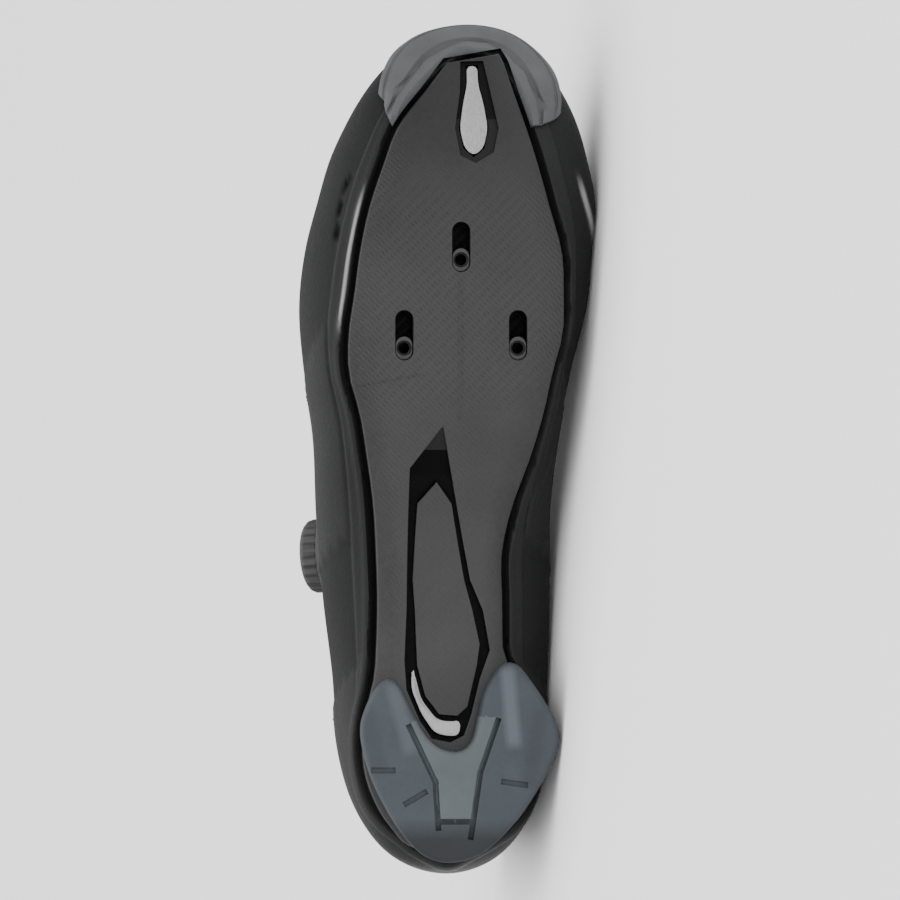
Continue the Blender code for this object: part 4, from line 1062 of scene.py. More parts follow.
padGrooves = [
    ((0.1730, -0.1448), (0.1081, -0.0569)),
    ((0.1081, -0.0569), (0.0541, -0.0465)),
    ((0.1802, 0.1551), (0.1189, 0.0951)),
    ((0.1189, 0.0951), (0.0432, 0.0641)),
    ((0.0613, -0.0476), (0.0613, 0.0703)),
    ((0.1218, -0.2637), (0.1218, -0.2017)),
    ((0.0829, -0.1551), (0.0955, -0.0931)),
    ((0.1081, 0.1758), (0.1045, 0.2482)),
]
padLug = [
    (0.1780, -0.1510), (0.1081, -0.0569), (0.0613, -0.0476), (0.0613, 0.0703), (0.1189, 0.0951),
    (0.1830, 0.1580), (0.1900, 0.0000),
]


def inPlan(table):
    return [(along * shoe["length"], across * shoe["ballWidth"]) for along, across in table]


def insideOutline(place, points):
    inside = False
    for (ax, ay), (bx, by) in sidesOf(points):
        if (ay > place.y) != (by > place.y) and place.x < ax + (bx - ax) * (place.y - ay) / (by - ay):
            inside = not inside
    return inside


def soften(points, reach, rounds=2):
    # cuts the corners of an outline, by a share of its sides and by no more than a length
    for turn in range(rounds):
        made = []
        for here, after in sidesOf(points):
            a, b = Vector(here), Vector(after)
            step = min(0.25 * (b - a).length, reach)
            way = (b - a).normalized()
            made += [tuple(a + way * step), tuple(b - way * step)]
        points, reach = made, 0.5 * reach
    return points


def bevelSharp(bm, width, segments, keep, least=28.0):
    # rounds the sharp edges that a rule keeps
    bmesh.ops.dissolve_limit(bm, angle_limit=0.002, verts=bm.verts, edges=bm.edges)
    sharp = [e for e in bm.edges if len(e.link_faces) == 2 and e.calc_face_angle() > math.radians(least)
             and all(keep(v.co) for v in e.verts)]
    bevelled(bm, sharp, width, segments)


def sliced(bm, width):
    # cuts a flat piece in strips, first across and then along, so that it can bend
    ranges = [(min(v.co[axis] for v in bm.verts), max(v.co[axis] for v in bm.verts)) for axis in (0, 1)]
    for axis, (low, high) in enumerate(ranges):
        direction = Vector((1.0 - axis, axis, 0.0))
        count = round((high - low) / width)
        for k in range(1, count):
            cutPlane(bm, direction * (low + (high - low) * k / count), direction)


def nearBottom(top):
    return lambda co: co.z < top - small["near"]


def toPlate(point):
    share = max(0.0, 1.0 - point.z / shoe["plate"])
    return Vector((point.x, point.y, point.z + underside(point.x) + edgeRoll(point.x, point.y) * share))


def settlePiece(body, shapeOf, replaced, angle=30.0):
    # bends a flat piece, lays it down with the shoe and gives it its place in the frame
    def bent(bm):
        for vert in bm.verts:
            vert.co = toWorld @ shapeOf(vert.co)

    editPiece(body, bent)
    smoothAgain(body, angle)
    modifier(body, "WEIGHTED_NORMAL", keep_sharp=True, weight=80)
    keepShape(body)
    takePlace(body, replaced)


# sole plate
plateForm = {
    "recess": 0.0032, "island": 0.0022, "pocket": 0.0014, "slotLength": 0.0165, "slotWidth": 0.0060,
    "slotAlong": 0.7387, "slotMedial": 0.0030, "slotSpread": 0.0373, "slotSetback": 0.0289,
    "rim": 0.0013, "edge": 0.00040, "strips": 0.0036, "joined": 0.0010,
    "deepShadeFrom": 0.0018, "recessShadeFrom": 0.0004, "pocketShadeFrom": 0.0006, "pocketDeepShadeFrom": 0.248,
    "ridge": [(0.1485, 0.0023), (0.1960, 0.0026), (0.1960, 0.0032), (0.1485, 0.0033)], "ridgeHeight": 0.00022,
    "chevron": [(0.1590, -0.0315), (0.1630, -0.0100), (0.1637, -0.0100), (0.1600, -0.0315)],
    "chevronDepth": 0.00022,
}


def capsule(middle, length, width, steps=10):
    points = []
    for side in (1.0, -1.0):
        for k in range(steps + 1):
            angle = (k / steps - 0.5 * side) * math.pi
            points.append((middle[0] + side * 0.5 * (length - width) + 0.5 * width * math.cos(angle),
                           middle[1] + 0.5 * width * math.sin(angle)))
    return points


def slotMiddles():
    form = plateForm
    front = form["slotAlong"] * shoe["length"]
    rear = front - form["slotSetback"]
    return {"front": (front, form["slotMedial"]),
            "lateral": (rear, form["slotMedial"] - 0.5 * form["slotSpread"]),
            "medial": (rear, form["slotMedial"] + 0.5 * form["slotSpread"])}


def recessBody():
    # the recess grows deeper from its front tip
    points, deep = inPlan(recessOutline), plateForm["recess"]
    bm = slab(points, -small["beyond"], deep)
    ramp = points[-1][0] + shoe["gap"]
    cutPlane(bm, (ramp, 0.0, 0.0), (1.0, 0.0, 0.0), 0.0)
    bmesh.ops.triangulate(bm, faces=bm.faces)
    reach = points[0][0] - ramp
    for vert in bm.verts:
        if vert.co.z > 0.0 and vert.co.x > ramp:
            vert.co.z = deep - (deep - shoe["gap"]) * (vert.co.x - ramp) / reach
    return bm


def makePlate():
    form, under = plateForm, -small["beyond"]
    deep, thick = form["recess"], shoe["plate"]
    island, pocket = inPlan(islandOutline), inPlan(toePocketOutline)
    plate = newPiece("sole_plate_fine", slab(plateEdge(), 0.0, thick, form["rim"]), ["plate"])
    carve(plate, "recess", recessBody())
    carve(plate, "island", slab(island, deep - form["island"], deep + form["joined"]), "UNION")
    carve(plate, "pocket", slab(pocket, under, form["pocket"]))
    carve(plate, "ventHole", slab(grownOutline(inPlan(toeVentOutline), shoe["gap"]), under, 2.0 * thick))
    for middle in slotMiddles().values():
        carve(plate, "slot", slab(capsule(middle, form["slotLength"], form["slotWidth"]), under, 2.0 * thick))
    carve(plate, "ridge", slab(form["ridge"], -form["ridgeHeight"], form["joined"]), "UNION")
    carve(plate, "chevron", slab(form["chevron"], under, form["chevronDepth"]))
    editPiece(plate, lambda bm: bevelSharp(bm, form["edge"], 2, nearBottom(thick)))
    editPiece(plate, lambda bm: sliced(bm, form["strips"]))
    for look in ("plateRecessShade", "plateDeepShade"):
        plate.data.materials.append(finishes[look])
    recess, pocket = (grownOutline(points, small["near"]) for points in (inPlan(recessOutline), pocket))
    # painted shade: faces deep in the recess and the toe pocket take the darker copies, the deepest the darkest
    for poly in plate.data.polygons:
        place = poly.center
        if place.z > form["recessShadeFrom"] and insideOutline(place, recess) and not insideOutline(place, island):
            poly.material_index = 2 if place.z > form["deepShadeFrom"] else 1
        elif place.z > form["pocketShadeFrom"] and insideOutline(place, pocket):
            poly.material_index = 2 if place.x > form["pocketDeepShadeFrom"] else 1
    settlePiece(plate, toPlate, "sole_plate")


# bright inserts and the threaded plates of the cleat slots
insertForm = {
    "thick": 0.0018, "edge": 0.00035, "inset": 0.0010, "dish": 0.00030, "soft": 0.0012, "strips": 0.003,
    "nutLength": 0.0075, "nutThick": 0.0026, "nutHole": 0.0042, "thread": 0.00022, "pitch": 0.0008,
    "mouth": 0.0005, "lead": 0.0007,
}


def dishedSlab(points, low, high):
    # insert with a rounded rim and a slightly sunk middle
    form = insertForm
    bm = slab(soften(points, form["soft"]), low, high)
    under = [f for f in bm.faces if f.normal.z < -0.9]
    made = bmesh.ops.inset_region(bm, faces=under, thickness=form["inset"], depth=0.0, use_even_offset=True)
    inner = [f for f in bm.faces if f.normal.z < -0.9 and f not in made["faces"]]
    bmesh.ops.translate(bm, vec=(0.0, 0.0, form["dish"]), verts=list({v for f in inner for v in f.verts}))
    bevelSharp(bm, form["edge"], 3, lambda co: co.z < low + small["near"], least=40.0)
    return bm


def makeVents():
    form = insertForm
    toeLow = plateForm["pocket"] - 0.5 * form["thick"]
    heelLow = plateForm["recess"] - shoe["gap"] - form["thick"]
    for name, outline, low in (("toe_vent", toeVentOutline, toeLow), ("heel_vent", heelVentOutline, heelLow)):
        body = dishedSlab(inPlan(outline), low, low + form["thick"])
        vent = newPiece(name + "_insert", body, ["silver"])
        editPiece(vent, lambda bm: sliced(bm, form["strips"]))
        settlePiece(vent, toPlate, name)


def threadedBore(place, low):
    # one ring per turn of the thread, wide and narrow in turns
    form = insertForm
    radius, level, wide = 0.5 * form["nutHole"], low - small["near"], True
    bm = bmesh.new()
    first = bmesh.ops.create_circle(bm, segments=32, radius=radius + form["mouth"])["verts"]
    bmesh.ops.translate(bm, vec=(*place, level), verts=first)
    floor = bmesh.ops.edgeloop_fill(bm, edges=list(bm.edges))["faces"]
    while level < low + form["nutThick"]:
        grown = bmesh.ops.extrude_face_region(bm, geom=floor)["geom"]
        if level > low:
            bmesh.ops.delete(bm, geom=[f for f in floor if f.is_valid], context="FACES_ONLY")
        floor = [part for part in grown if isinstance(part, bmesh.types.BMFace)]
        level += form["lead"] if level < low else 0.5 * form["pitch"]
        for vert in vertsOf(grown):
            out = Vector((vert.co.x - place[0], vert.co.y - place[1], 0.0)).normalized()
            vert.co = Vector((*place, level)) + out * (radius + (form["thread"] if wide else -form["thread"]))
        wide = not wide
    bmesh.ops.recalc_face_normals(bm, faces=bm.faces)
    return bm


def makeNuts():
    form = insertForm
    low = 0.5 * (shoe["plate"] - form["nutThick"])
    for key, middle in slotMiddles().items():
        place = (middle[0] - 0.5 * plateForm["slotLength"] + shoe["gap"] + 0.5 * form["nutLength"], middle[1])
        outline = capsule(place, form["nutLength"], plateForm["slotWidth"] - 2.0 * shoe["gap"])
        nut = newPiece("cleat_nut_" + key + "_threaded", slab(outline, low, low + form["nutThick"]), ["nut"])
        carve(nut, "thread", threadedBore(place, low))
        settlePiece(nut, toPlate, "cleat_nut_" + key, 35.0)


# heel pad
padForm = {
    "thick": 0.0082, "rim": 0.0017, "edge": 0.00055, "soft": 0.003, "strips": 0.0028, "groove": 0.0019,
    "grooves": 5, "grooveDepth": 0.0021, "markDepth": 0.0010, "apart": 0.02, "rearRise": 0.0030,
    "flatBack": 0.0793, "flatFront": 0.2018, "lobe": 0.0007, "lobeMiddle": 0.001, "lobePlace": (0.013, 0.030),
}


def cutAlong(bm, points):
    for a, b in sidesOf(points):
        cutPlane(bm, (*a, 0.0), (b[1] - a[1], a[0] - b[0], 0.0))


def toTread(point):
    form = padForm
    rear, front = form["flatBack"] * shoe["length"], form["flatFront"] * shoe["length"]
    end = max(along for along, across in inPlan(padOutline))
    low = form["rearRise"] * (max(0.0, rear - point.x) / rear) ** 2
    low += form["rearRise"] * (max(0.0, point.x - front) / (end - front)) ** 2
    # the two side lobes slope up a little from the middle lug
    low += form["lobe"] * ease(*form["lobePlace"], abs(point.y - form["lobeMiddle"]))
    high = underside(point.x) - shoe["gap"]
    return Vector((point.x, point.y, low + (high - low) * point.z / form["thick"]))


def makePad():
    form = padForm
    body = slab(soften(inPlan(padOutline), form["soft"]), 0.0, form["thick"], form["rim"])
    pad = newPiece("heel_pad_tread", body, ["pad", "padLug"])
    for index, ends in enumerate(padGrooves):
        a, b = (Vector(point) for point in inPlan(ends))
        half = (b - a).normalized() * 0.5 * form["groove"]
        side = Vector((-half.y, half.x))
        corners = [a - half - side, b + half - side, b + half + side, a - half + side]
        # no two depths are the same, so that the grooves' floors never share a plane
        depth = form["grooveDepth"] if index < form["grooves"] else form["markDepth"]
        carve(pad, "groove", slab(corners, -small["beyond"], depth * (1.0 + form["apart"] * index)))
    editPiece(pad, lambda bm: bevelSharp(bm, form["edge"], 2, nearBottom(form["thick"])))
    editPiece(pad, lambda bm: sliced(bm, form["strips"]))
    # the middle lug between the grooves is a lighter rubber
    lug = inPlan(padLug)
    editPiece(pad, lambda bm: cutAlong(bm, lug))
    for poly in pad.data.polygons:
        if insideOutline(poly.center, lug):
            poly.material_index = 1
    settlePiece(pad, toTread, "heel_pad")


# insole
insoleForm = {
    "inset": 0.0021, "lift": 0.0085, "thick": 0.0030, "strips": 0.006, "cup": 0.0040, "cupPlace": (0.042, 0.105),
    "arch": 0.0030, "archPlace": (0.075, 0.160, 0.020), "reach": 0.016, "edge": 0.0010, "columns": 112,
}


def makeInsole():
    form = insoleForm
    edge = [upperBase(around, 0.0) for around in roundAngles(form["columns"])]
    outline = grownOutline([(place.x, place.y) for place in edge], -form["inset"])
    sides = [(Vector(a), Vector(b)) for a, b in sidesOf(outline)]

    def settled(point):
        # the rim is cupped round the heel and raised beside the arch
        here, near = Vector((point.x, point.y)), form["reach"]
        for a, b in sides:
            way = b - a
            share = min(max((here - a).dot(way) / way.length_squared, 0.0), 1.0)
            near = min(near, (here - a - way * share).length)
        rise = form["cup"] * (1.0 - ease(*form["cupPlace"], point.x))
        if point.y > 0.0:
            rise = max(rise, form["arch"] * bump(*form["archPlace"], point.x))
        rise *= 1.0 - ease(0.0, form["reach"], near)
        return Vector((point.x, point.y, underside(point.x) + form["lift"] + point.z + rise))

    insole = newPiece("insole_footbed", slab(outline, 0.0, form["thick"]), ["insole"])
    editPiece(insole, lambda bm: bevelSharp(bm, form["edge"], 3, lambda co: True))
    editPiece(insole, lambda bm: sliced(bm, form["strips"]))
    insole.data.materials.append(finishes["plateDeepShade"])
    for poly in insole.data.polygons:
        if poly.normal.z < -0.5:
            poly.material_index = 1
    settlePiece(insole, settled, "insole", 40.0)


# tongue
tongueForm = {
    "front": 0.634, "back": 0.393, "rows": 9, "underVamp": (0.668, 0.690), "evenRows": 54, "tuck": 0.26,
    "rise": 0.026, "lean": 0.018, "thick": 0.0040, "under": 0.0032, "puff": 0.0012,
    "seams": (0.25, 0.36, 0.47, 0.58, 0.69, 0.82), "seamDepth": 0.0010, "seamWidth": 0.012, "seamBow": 0.02,
    "ends": (0.08, 0.06), "levelled": 0.7, "smoothing": 12, "edge": 0.0012,
    # the free top: shares of the rise, the lean and the width
    "top": [(0.10, 0.12, 0.90), (0.25, 0.25, 0.84), (0.45, 0.42, 0.82), (0.62, 0.57, 0.80), (0.72, 0.67, 0.775),
            (0.81, 0.77, 0.72), (0.88, 0.85, 0.63), (0.94, 0.92, 0.50), (0.98, 0.97, 0.36), (1.00, 1.02, 0.20)],
}
tongueMeasures = ("along", "across")


def tongueRow(x, levels):
    # from the lateral side to the medial side, with two places between them
    lateral, medial = ([upperSkin(aroundAt(x, side, at), level, -tongueForm["under"]) for at, level in levels]
                       for side in (-1, 1))
    medial.reverse()
    return lateral + [lateral[-1].lerp(medial[0], share) for share in (1 / 3, 2 / 3)] + medial


def evenRows(rows, count):
    # the same surface with its rows an even distance apart
    middles = [sum(row, Vector()) / len(row) for row in rows]
    far = [0.0]
    for a, b in zip(middles, middles[1:]):
        far.append(far[-1] + (b - a).length)
    even = []
    for k in range(count + 1):
        at, i = far[-1] * k / count, 0
        while i < len(far) - 2 and at > far[i + 1]:
            i += 1
        share = (at - far[i]) / max(far[i + 1] - far[i], 1e-9)
        even.append([a.lerp(b, share) for a, b in zip(rows[i], rows[i + 1])])
    return even


def tongueRows():
    form = tongueForm
    rows = []
    for k in range(form["rows"] + 1):
        x = shoe["length"] * (form["front"] + (form["back"] - form["front"]) * k / form["rows"])
        tuck = form["tuck"] * min(1.0, 0.30 + 0.25 * (form["rows"] - k))
        rows.append(tongueRow(x, [(2.0, 2.0 - tuck), (2.0, 2.0 - 0.5 * tuck), (2.0, 2.0)]))
    # the front end runs on under the toe box
    for along in form["underVamp"]:
        x = along * shoe["length"]
        low, high = 1.0, 2.0
        for turn in range(24):
            level = 0.5 * (low + high)
            low, high = (level, high) if upperBase(math.pi, level).x > x else (low, level)
        rows.insert(0, tongueRow(x, [(low - drop, low - drop) for drop in (0.30, 0.16, 0.05)]))
    last = rows[-1]
    level = sum(place.z for place in last[2:6]) / 4.0
    for rise, lean, wide in form["top"]:
        rows.append([Vector((place.x - form["lean"] * lean, place.y * wide,
                             place.z + form["levelled"] * rise * (level - place.z) + form["rise"] * rise))
                     for place in last])
    return evenRows(rows, form["evenRows"])


def quilted(bm):
    # soft padding, drawn in along the edges and at the sewn lines across the tongue
    form = tongueForm
    along, across = (bm.verts.layers.float[name] for name in tongueMeasures)
    front, back = form["ends"]
    bm.normal_update()
    for vert, out in [(vert, vert.normal.copy()) for vert in bm.verts]:
        at, side = vert[along], abs(vert[across])
        puff = form["puff"] * (1.0 - side**4) * ease(0.0, front, at) * ease(0.0, back, 1.0 - at)
        for seamAndGapShade in form["seams"]:
            off = (at - seamAndGapShade - form["seamBow"] * (1.0 - side * side)) / form["seamWidth"]
            puff -= form["seamDepth"] * math.exp(-off * off) * (1.0 - side**6)
        vert.co += out * puff


def makeTongue():
    form = tongueForm
    table = tongueRows()
    bm, rows = loft(range(len(table)), range(len(table[0])), lambda column, ring: table[ring][column], False,
                    tongueMeasures)
    along, across = (bm.verts.layers.float[name] for name in tongueMeasures)
    for r, row in enumerate(rows):
        for c, vert in enumerate(row):
            vert[along], vert[across] = r / (len(rows) - 1), 2.0 * c / (len(row) - 1) - 1.0
    loose = [vert for row in rows[1:] for vert in row]
    for turn in range(form["smoothing"]):
        bmesh.ops.smooth_vert(bm, verts=loose, factor=0.5, use_axis_x=True, use_axis_y=True, use_axis_z=True)
    faceOutwards(bm, rows[8][4], Vector((0.0, 0.0, 1.0)))
    tongue = newPiece("tongue_pad", bm, ["lining"])
    modifier(tongue, "SUBSURF", levels=2, render_levels=2)
    keepShape(tongue)
    editPiece(tongue, quilted)
    modifier(tongue, "SOLIDIFY", thickness=form["thick"], offset=-1.0)
    roundedEdges(tongue, form["edge"], 3, 60.0)
    tongue.data.transform(toWorld)
    smoothAgain(tongue, 60.0)
    takePlace(tongue, "tongue")


# turned and swept pieces
def turnedPiece(name, rings, place, out, looks, columns=96, ribs=0):
    # rings of (height, radius, rib depth) from the foot up, turned about the outward direction
    across = out.orthogonal().normalized()
    beside = out.cross(across)

    def placeAt(turn, ring):
        height, radius, depth = ring
        if ribs:
            radius -= depth * (0.5 - 0.5 * math.cos(ribs * turn)) ** 0.7
        if callable(height):
            height = height(across * radius * math.cos(turn) + beside * radius * math.sin(turn))
        return place + out * height + (across * math.cos(turn) + beside * math.sin(turn)) * radius

    bm, rows = loft(rings, roundAngles(columns), placeAt)
    return closedPiece(name, bm, rows, False, looks, 35.0)


def smoothPath(points, step):
    made = []
    for i in range(len(points) - 1):
        before, a, b, after = points[max(i - 1, 0)], points[i], points[i + 1], points[min(i + 2, len(points) - 1)]
        count = max(1, round((b - a).length / step))
        for k in range(count):
            t = k / count
            made.append(0.5 * (2.0 * a + (b - before) * t + (2.0 * before - 5.0 * a + 4.0 * b - after) * t**2
                               + (3.0 * a - before - 3.0 * b + after) * t**3))
    return made + [points[-1].copy()]


def sweptTube(name, path, radiusAt, bore, columns, looks):
    # tube round a path, hollow where it has a bore
    frames, across = [], None
    for i in range(len(path)):
        way = (path[min(i + 1, len(path) - 1)] - path[max(i - 1, 0)]).normalized()
        across = way.orthogonal().normalized() if across is None else across
        across = (across - way * across.dot(way)).normalized()
        frames.append((path[i], across.copy(), way.cross(across)))
    rings = [(i, False) for i in range(len(path))]
    if bore:
        rings += [(i, True) for i in reversed(range(len(path)))]

    def placeAt(turn, ring):
        place, across, beside = frames[ring[0]]
        radius = bore if ring[1] else radiusAt(ring[0], turn)
        return place + (across * math.cos(turn) + beside * math.sin(turn)) * radius

    bm, rows = loft(rings, roundAngles(columns), placeAt)
    return closedPiece(name, bm, rows, bool(bore), looks, 50.0)


# dial
dialForm = {
    "along": 0.3748, "level": 1.50, "baseRadius": 0.0150, "ribs": 24, "laceHeight": 0.0023,
    "port": 0.0017, "portBore": 0.0009, "portPlaces": (0.88, 1.0, 1.12),
    "footSpread": 0.0003, "footSunk": 0.0006, "footOver": 0.0005, "footHighest": 0.0012,
    "flangeRadius": 0.0188, "flangeThick": 0.0007, "flangeSeam": 0.0015,
    # the flange's rings: radius, share of its thickness and how far the ring is sunk
    "flange": [(0.0188, 0.0, 0.0004), (0.0188, 0.5, 0.0), (0.0183, 1.0, 0.0), (0.0158, 1.0, 0.0),
               (0.0140, 0.3, 0.0), (0.0130, 0.0, 0.0004)],
    "base": [(0.0016, 0.01500, 0.0), (0.0021, 0.01485, 0.0), (0.0024, 0.01445, 0.0), (0.0024, 0.01330, 0.0),
             (0.0019, 0.01300, 0.0), (0.0019, 0.01000, 0.0)],
    "knob": [(0.0027, 0.01120, 0.0), (0.0029, 0.01180, 0.0002), (0.0034, 0.01225, 0.0005),
             (0.0040, 0.01230, 0.0007), (0.0074, 0.01215, 0.0007), (0.0082, 0.01180, 0.0005),
             (0.0088, 0.01125, 0.0002), (0.0092, 0.01060, 0.0), (0.0093, 0.00990, 0.0), (0.0093, 0.00890, 0.0),
             (0.0091, 0.00865, 0.0), (0.0088, 0.00855, 0.0), (0.0087, 0.00840, 0.0), (0.0089, 0.00700, 0.0),
             (0.0090, 0.00450, 0.0), (0.0091, 0.00150, 0.0)],
    "capRadius": 0.00895,
}


def dialSeat():
    around = aroundAt(dialForm["along"] * shoe["length"], -1, dialForm["level"])
    return around, upperBase(around, dialForm["level"]), upperNormal(around, dialForm["level"])


def skinUnderDial():
    # height of the upper's surface over the dial's plane, as a function of the place on that plane
    around, seat, out = dialSeat()
    samples = []
    for i in range(-16, 17):
        for j in range(-14, 15):
            level = dialForm["level"] + 0.035 * j
            if 1.0 <= level <= 2.0:
                place = upperSkin(around + 0.035 * i, level) - seat
                if place.length < 1.6 * dialForm["flangeRadius"]:
                    samples.append((place - out * place.dot(out), place.dot(out)))
    flat = np.array([tuple(place) for place, height in samples])
    heights = np.array([height for place, height in samples])

    def heightAt(spot):
        far = np.sum((flat - np.array(tuple(spot))) ** 2, axis=1) + 1e-9
        near = np.argsort(far)[:5]
        return float(np.sum(heights[near] / far[near]) / np.sum(1.0 / far[near]))
    return heightAt


def overSkin(skin, rise, most=1.0):
    # a ring's height that follows the upper's surface
    return lambda spot: min(skin(spot) + rise, most)


def makeDial():
    form = dialForm
    around, seat, out = dialSeat()
    skin = skinUnderDial()
    reach = form["baseRadius"]
    foot = [(overSkin(skin, -form["footSunk"]), reach + form["footSpread"], 0.0),
            (overSkin(skin, form["footOver"], form["footHighest"]), reach + form["footSpread"], 0.0)]
    base = turnedPiece("dial_base_housing", foot + form["base"], seat, out, ["plastic"])
    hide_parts("dial_base")
    flange = [(overSkin(skin, share * form["flangeThick"] - sunk), radius, 0.0)
              for radius, share, sunk in form["flange"]]
    turnedPiece("dial_flange", flange, seat, out, ["plastic"])
    knob = turnedPiece("dial_knob_grip", form["knob"], seat, out, ["plastic", "cap"],
                       8 * form["ribs"], form["ribs"])
    centre = toWorld @ (seat + out * form["knob"][-1][0])
    for poly in knob.data.polygons:
        if (poly.center - centre).length < form["capRadius"]:
            poly.material_index = 1
    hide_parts("dial_knob")
    toward = laceStart()
    port = [seat + toward * share * reach + out * form["laceHeight"] for share in form["portPlaces"]]
    sweptTube("dial_port", smoothPath(port, laceForm["step"]), lambda i, turn: form["port"], form["portBore"], 20,
              ["plastic"])
    print("stage: dial")


# lace and its guides
laceForm = {
    "firstBar": 0.4072, "spacing": 0.0115, "bars": 5, "level": 1.94, "dip": 0.10, "lift": 0.0026, "steps": 8,
    "step": 0.0006, "radius": 0.0007, "strands": 6, "strandDepth": 0.00009, "twist": 900.0,
    "guide": 0.0020, "bore": 0.0011, "flare": 0.00035, "flareReach": 0.0012, "anchorLevel": 1.88,
    "tabAlong": 0.0092, "tabLevel": 0.105, "tabThick": 0.0006, "tabMiddle": 1.885, "tabTop": 1.995,
    "tabPower": 3.5, "tabSides": 56,
    # the tab's rings: shares of its size and of its thickness
    "tab": [(0.92, -2 / 3), (1.0, 0.0), (1.0, 0.5), (0.95, 0.9), (0.88, 1.0), (0.60, 1.0), (0.30, 1.0)],
    "anchor": [(-0.0020, 0.0024, 0.0), (-0.0018, 0.0030, 0.0), (-0.0010, 0.0032, 0.0), (0.0006, 0.0032, 0.0),
               (0.0014, 0.0028, 0.0), (0.0019, 0.0020, 0.0), (0.0020, 0.0010, 0.0)],
}


def barMiddle(bar):
    return laceForm["firstBar"] * shoe["length"] + laceForm["spacing"] * bar


def guidePath(bar, side):
    form = laceForm
    points = []
    for k in range(form["steps"] + 1):
        angle = math.pi * (k / form["steps"] - 0.5)
        around = aroundAt(barMiddle(bar + 0.5) + 0.5 * form["spacing"] * math.sin(angle), side)
        points.append(upperSkin(around, form["level"] - form["dip"] * math.cos(angle), form["lift"]))
    return points


def laceStart():
    around, seat, out = dialSeat()
    toward = guidePath(0, 1)[0] - seat
    return (toward - out * toward.dot(out)).normalized()


def lastBar():
    form = laceForm
    around = aroundAt(barMiddle(form["bars"] - 1), 1)
    return upperSkin(around, form["anchorLevel"], form["lift"]), upperNormal(around, form["anchorLevel"])


def makeLace():
    form = laceForm
    around, seat, out = dialSeat()
    reach = dialForm["baseRadius"] + shoe["gap"] + form["radius"]
    start = seat + laceStart() * reach + out * dialForm["laceHeight"]
    edge = upperSkin(aroundAt(barMiddle(0), -1), form["level"], form["lift"])
    route = [start, start.lerp(edge, 0.5) + out * form["radius"], edge]
    for bar in range(form["bars"] - 1):
        route += guidePath(bar, 1 if bar % 2 == 0 else -1)
    route.append(lastBar()[0])

    def twisted(i, turn):
        strand = 0.5 * form["strands"] * turn + form["twist"] * form["step"] * i
        return form["radius"] - form["strandDepth"] * abs(math.sin(strand))

    lace = sweptTube("lace_wire_twisted", smoothPath(route, form["step"]), twisted, None, 18, ["wire"])
    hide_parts("lace")
    print("stage: lace", len(lace.data.polygons))


def skinTab(name, x, side):
    # rounded pad that follows the upper's surface
    form = laceForm
    around, level = aroundAt(x, side), form["tabMiddle"]
    scale = 0.02 / (upperBase(around + 0.01, level) - upperBase(around - 0.01, level)).length

    def rounded(share, size):
        return math.copysign(abs(share) ** (2.0 / form["tabPower"]), share) * size

    def placeAt(turn, ring):
        along = rounded(math.cos(turn), form["tabAlong"]) * ring[0] * scale * -side
        rise = rounded(math.sin(turn), form["tabLevel"]) * ring[0]
        return upperSkin(around + along, min(level + rise, form["tabTop"]), form["tabThick"] * ring[1])

    bm, rows = loft(form["tab"], roundAngles(form["tabSides"]), placeAt)
    closedPiece(name, bm, rows, False, ["plastic"], 40.0)


def makeGuides():
    form = laceForm
    for bar in range(form["bars"] - 1):
        side = 1 if bar % 2 == 0 else -1
        label = ("medial_" if side > 0 else "lateral_") + str(bar // 2 + 1)
        path = smoothPath(guidePath(bar, side), form["step"])
        last = len(path) - 1

        def flared(i, turn):
            far = min(i, last - i) * form["step"] / form["flareReach"]
            return form["guide"] + form["flare"] * math.exp(-far**2)

        guide = sweptTube("guide_" + label + "_moulded", path, flared, form["bore"], 28, ["plastic"])
        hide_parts("guide_" + label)
        skinTab("guide_tab_" + label, barMiddle(bar + 0.5), side)
    place, out = lastBar()
    anchor = turnedPiece("lace_anchor", form["anchor"], place, out, ["plastic"], 40)
    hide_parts("guide_medial_3")
    print("stage: guides")


# rolled binding round the opening
bindingForm = {"rings": 260, "columns": 18, "over": 0.0007, "high": 0.0017, "sunk": 0.0006}


def makeBinding():
    form = bindingForm

    def placeAt(turn, around):
        edge, out = upperSkin(around, 2.0), upperNormal(around, 2.0)
        up = alongUpper(around, 2.0).normalized().cross(out).normalized()
        up = up if up.dot(upperBase(around, 2.0) - upperBase(around, 1.95)) > 0.0 else -up
        thick = shoe["wall"] + (shoe["padding"] - shoe["wall"]) * paddingShare(around, 2.0)
        middle = edge - out * 0.5 * thick - up * form["sunk"]
        return middle + out * math.cos(turn) * (0.5 * thick + form["over"]) + up * math.sin(turn) * form["high"]

    bm, rows = loft(roundAngles(form["rings"]), roundAngles(form["columns"]), placeAt)
    binding = closedPiece("collar_binding", bm, rows, True, ["lining"], 60.0)
    print("stage: binding", len(binding.data.polygons))


# stitching
stitchForm = {
    "pitch": 0.0030, "long": 0.0011, "wide": 0.00027, "high": 0.00022, "inset": 0.0022,
    # rows round the opening in degrees and level, and the levels that the rows up the wall run between
    "rings": [(62.0, 298.0, 1.752), (70.0, 290.0, 1.962)], "ringSteps": 240,
    "wing": (1.04, 1.68), "counter": (1.04, 1.56), "wallSteps": 60, "dialSteps": 120,
}


def wallLine(xAt, side, low, high):
    # places up the wall whose distance from the heel is a function of the level
    made, count = [], stitchForm["wallSteps"]
    for k in range(count + 1):
        level = low + (high - low) * k / count
        around = aroundAt(xAt(level), side, level)
        made.append((upperSkin(around, level), upperNormal(around, level)))
    return made


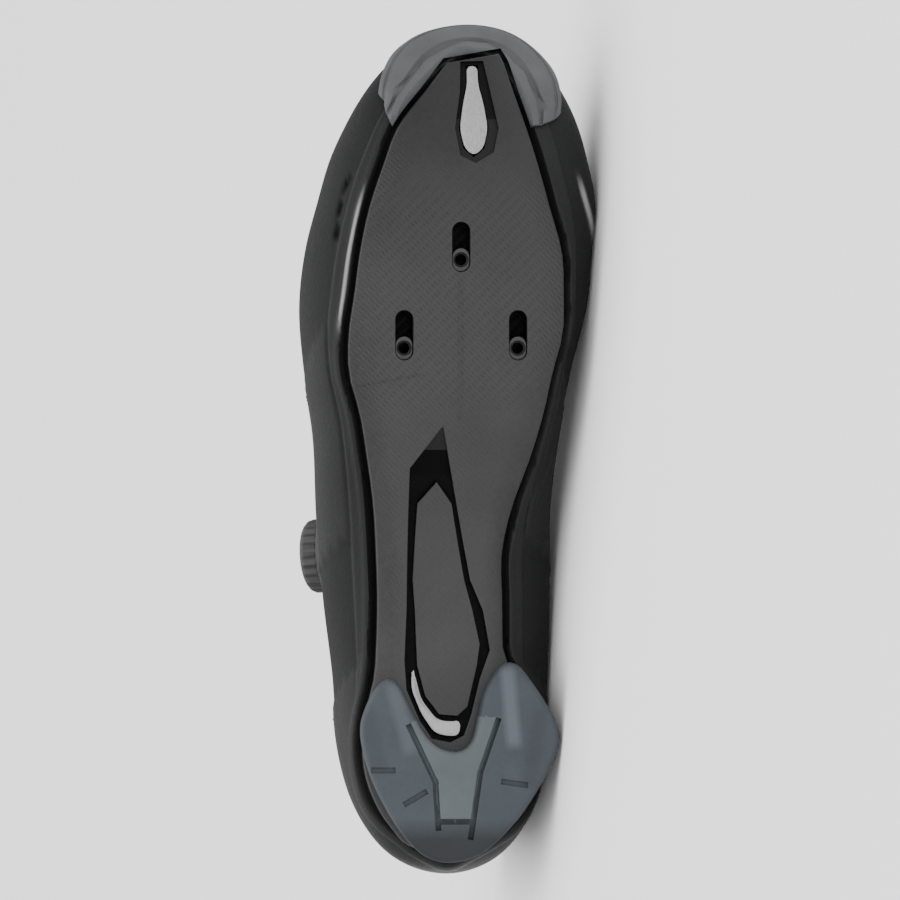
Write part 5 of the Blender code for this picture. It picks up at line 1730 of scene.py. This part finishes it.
def ringLine(start, end, level):
    made, count = [], stitchForm["ringSteps"]
    for k in range(count + 1):
        around = math.radians(start + (end - start) * k / count)
        made.append((upperSkin(around, level), upperNormal(around, level)))
    return made


def dialLine():
    around, seat, out = dialSeat()
    skin = skinUnderDial()
    across = out.orthogonal().normalized()
    made, count = [], stitchForm["dialSteps"]
    for k in range(count + 1):
        turn = 2.0 * math.pi * k / count
        spot = ((across * math.cos(turn) + out.cross(across) * math.sin(turn))
                * (dialForm["flangeRadius"] - dialForm["flangeSeam"]))
        made.append((seat + spot + out * (skin(spot) + dialForm["flangeThick"]), out))
    return made


def sewAlong(bm, line):
    form = stitchForm
    travelled, due = 0.0, 0.5 * form["pitch"]
    for (a, out), (b, outB) in zip(line, line[1:]):
        span = (b - a).length
        while travelled + span > due and span > 0.0:
            place = a.lerp(b, (due - travelled) / span)
            way = (b - a).normalized()
            up = (out - way * out.dot(way)).normalized()
            turn = Matrix((way, up.cross(way), up)).transposed().to_4x4()
            size = Matrix.Diagonal((form["long"], form["wide"], form["high"], 1.0))
            bmesh.ops.create_uvsphere(bm, u_segments=6, v_segments=4, radius=1.0,
                                      matrix=Matrix.Translation(place) @ turn @ size)
            due += form["pitch"]
        travelled += span


def makeStitches():
    form = stitchForm
    inset = form["inset"]
    lines = [ringLine(*ring) for ring in form["rings"]]
    for side in (-1, 1):
        lines.append(wallLine(lambda level: wingBack(level) + inset, side, *form["wing"]))
        lines.append(wallLine(lambda level: wingFront(level, side) - inset, side, *form["wing"]))
        lines.append(wallLine(lambda level: counterEnd(level) - inset, side, *form["counter"]))
    bm = bmesh.new()
    for line in lines + [dialLine()]:
        sewAlong(bm, line)
    intoWorld(bm)
    stitches = newPiece("stitching", bm, ["thread"])
    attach(stitches, "root")
    print("stage: stitches", len(stitches.data.polygons))


makeCamera()
makeStudio()
makeUpper()
makeBumper()
makePlate()
makeVents()
makeNuts()
makePad()
makeInsole()
makeTongue()
makeDial()
makeLace()
makeGuides()
makeBinding()
makeStitches()
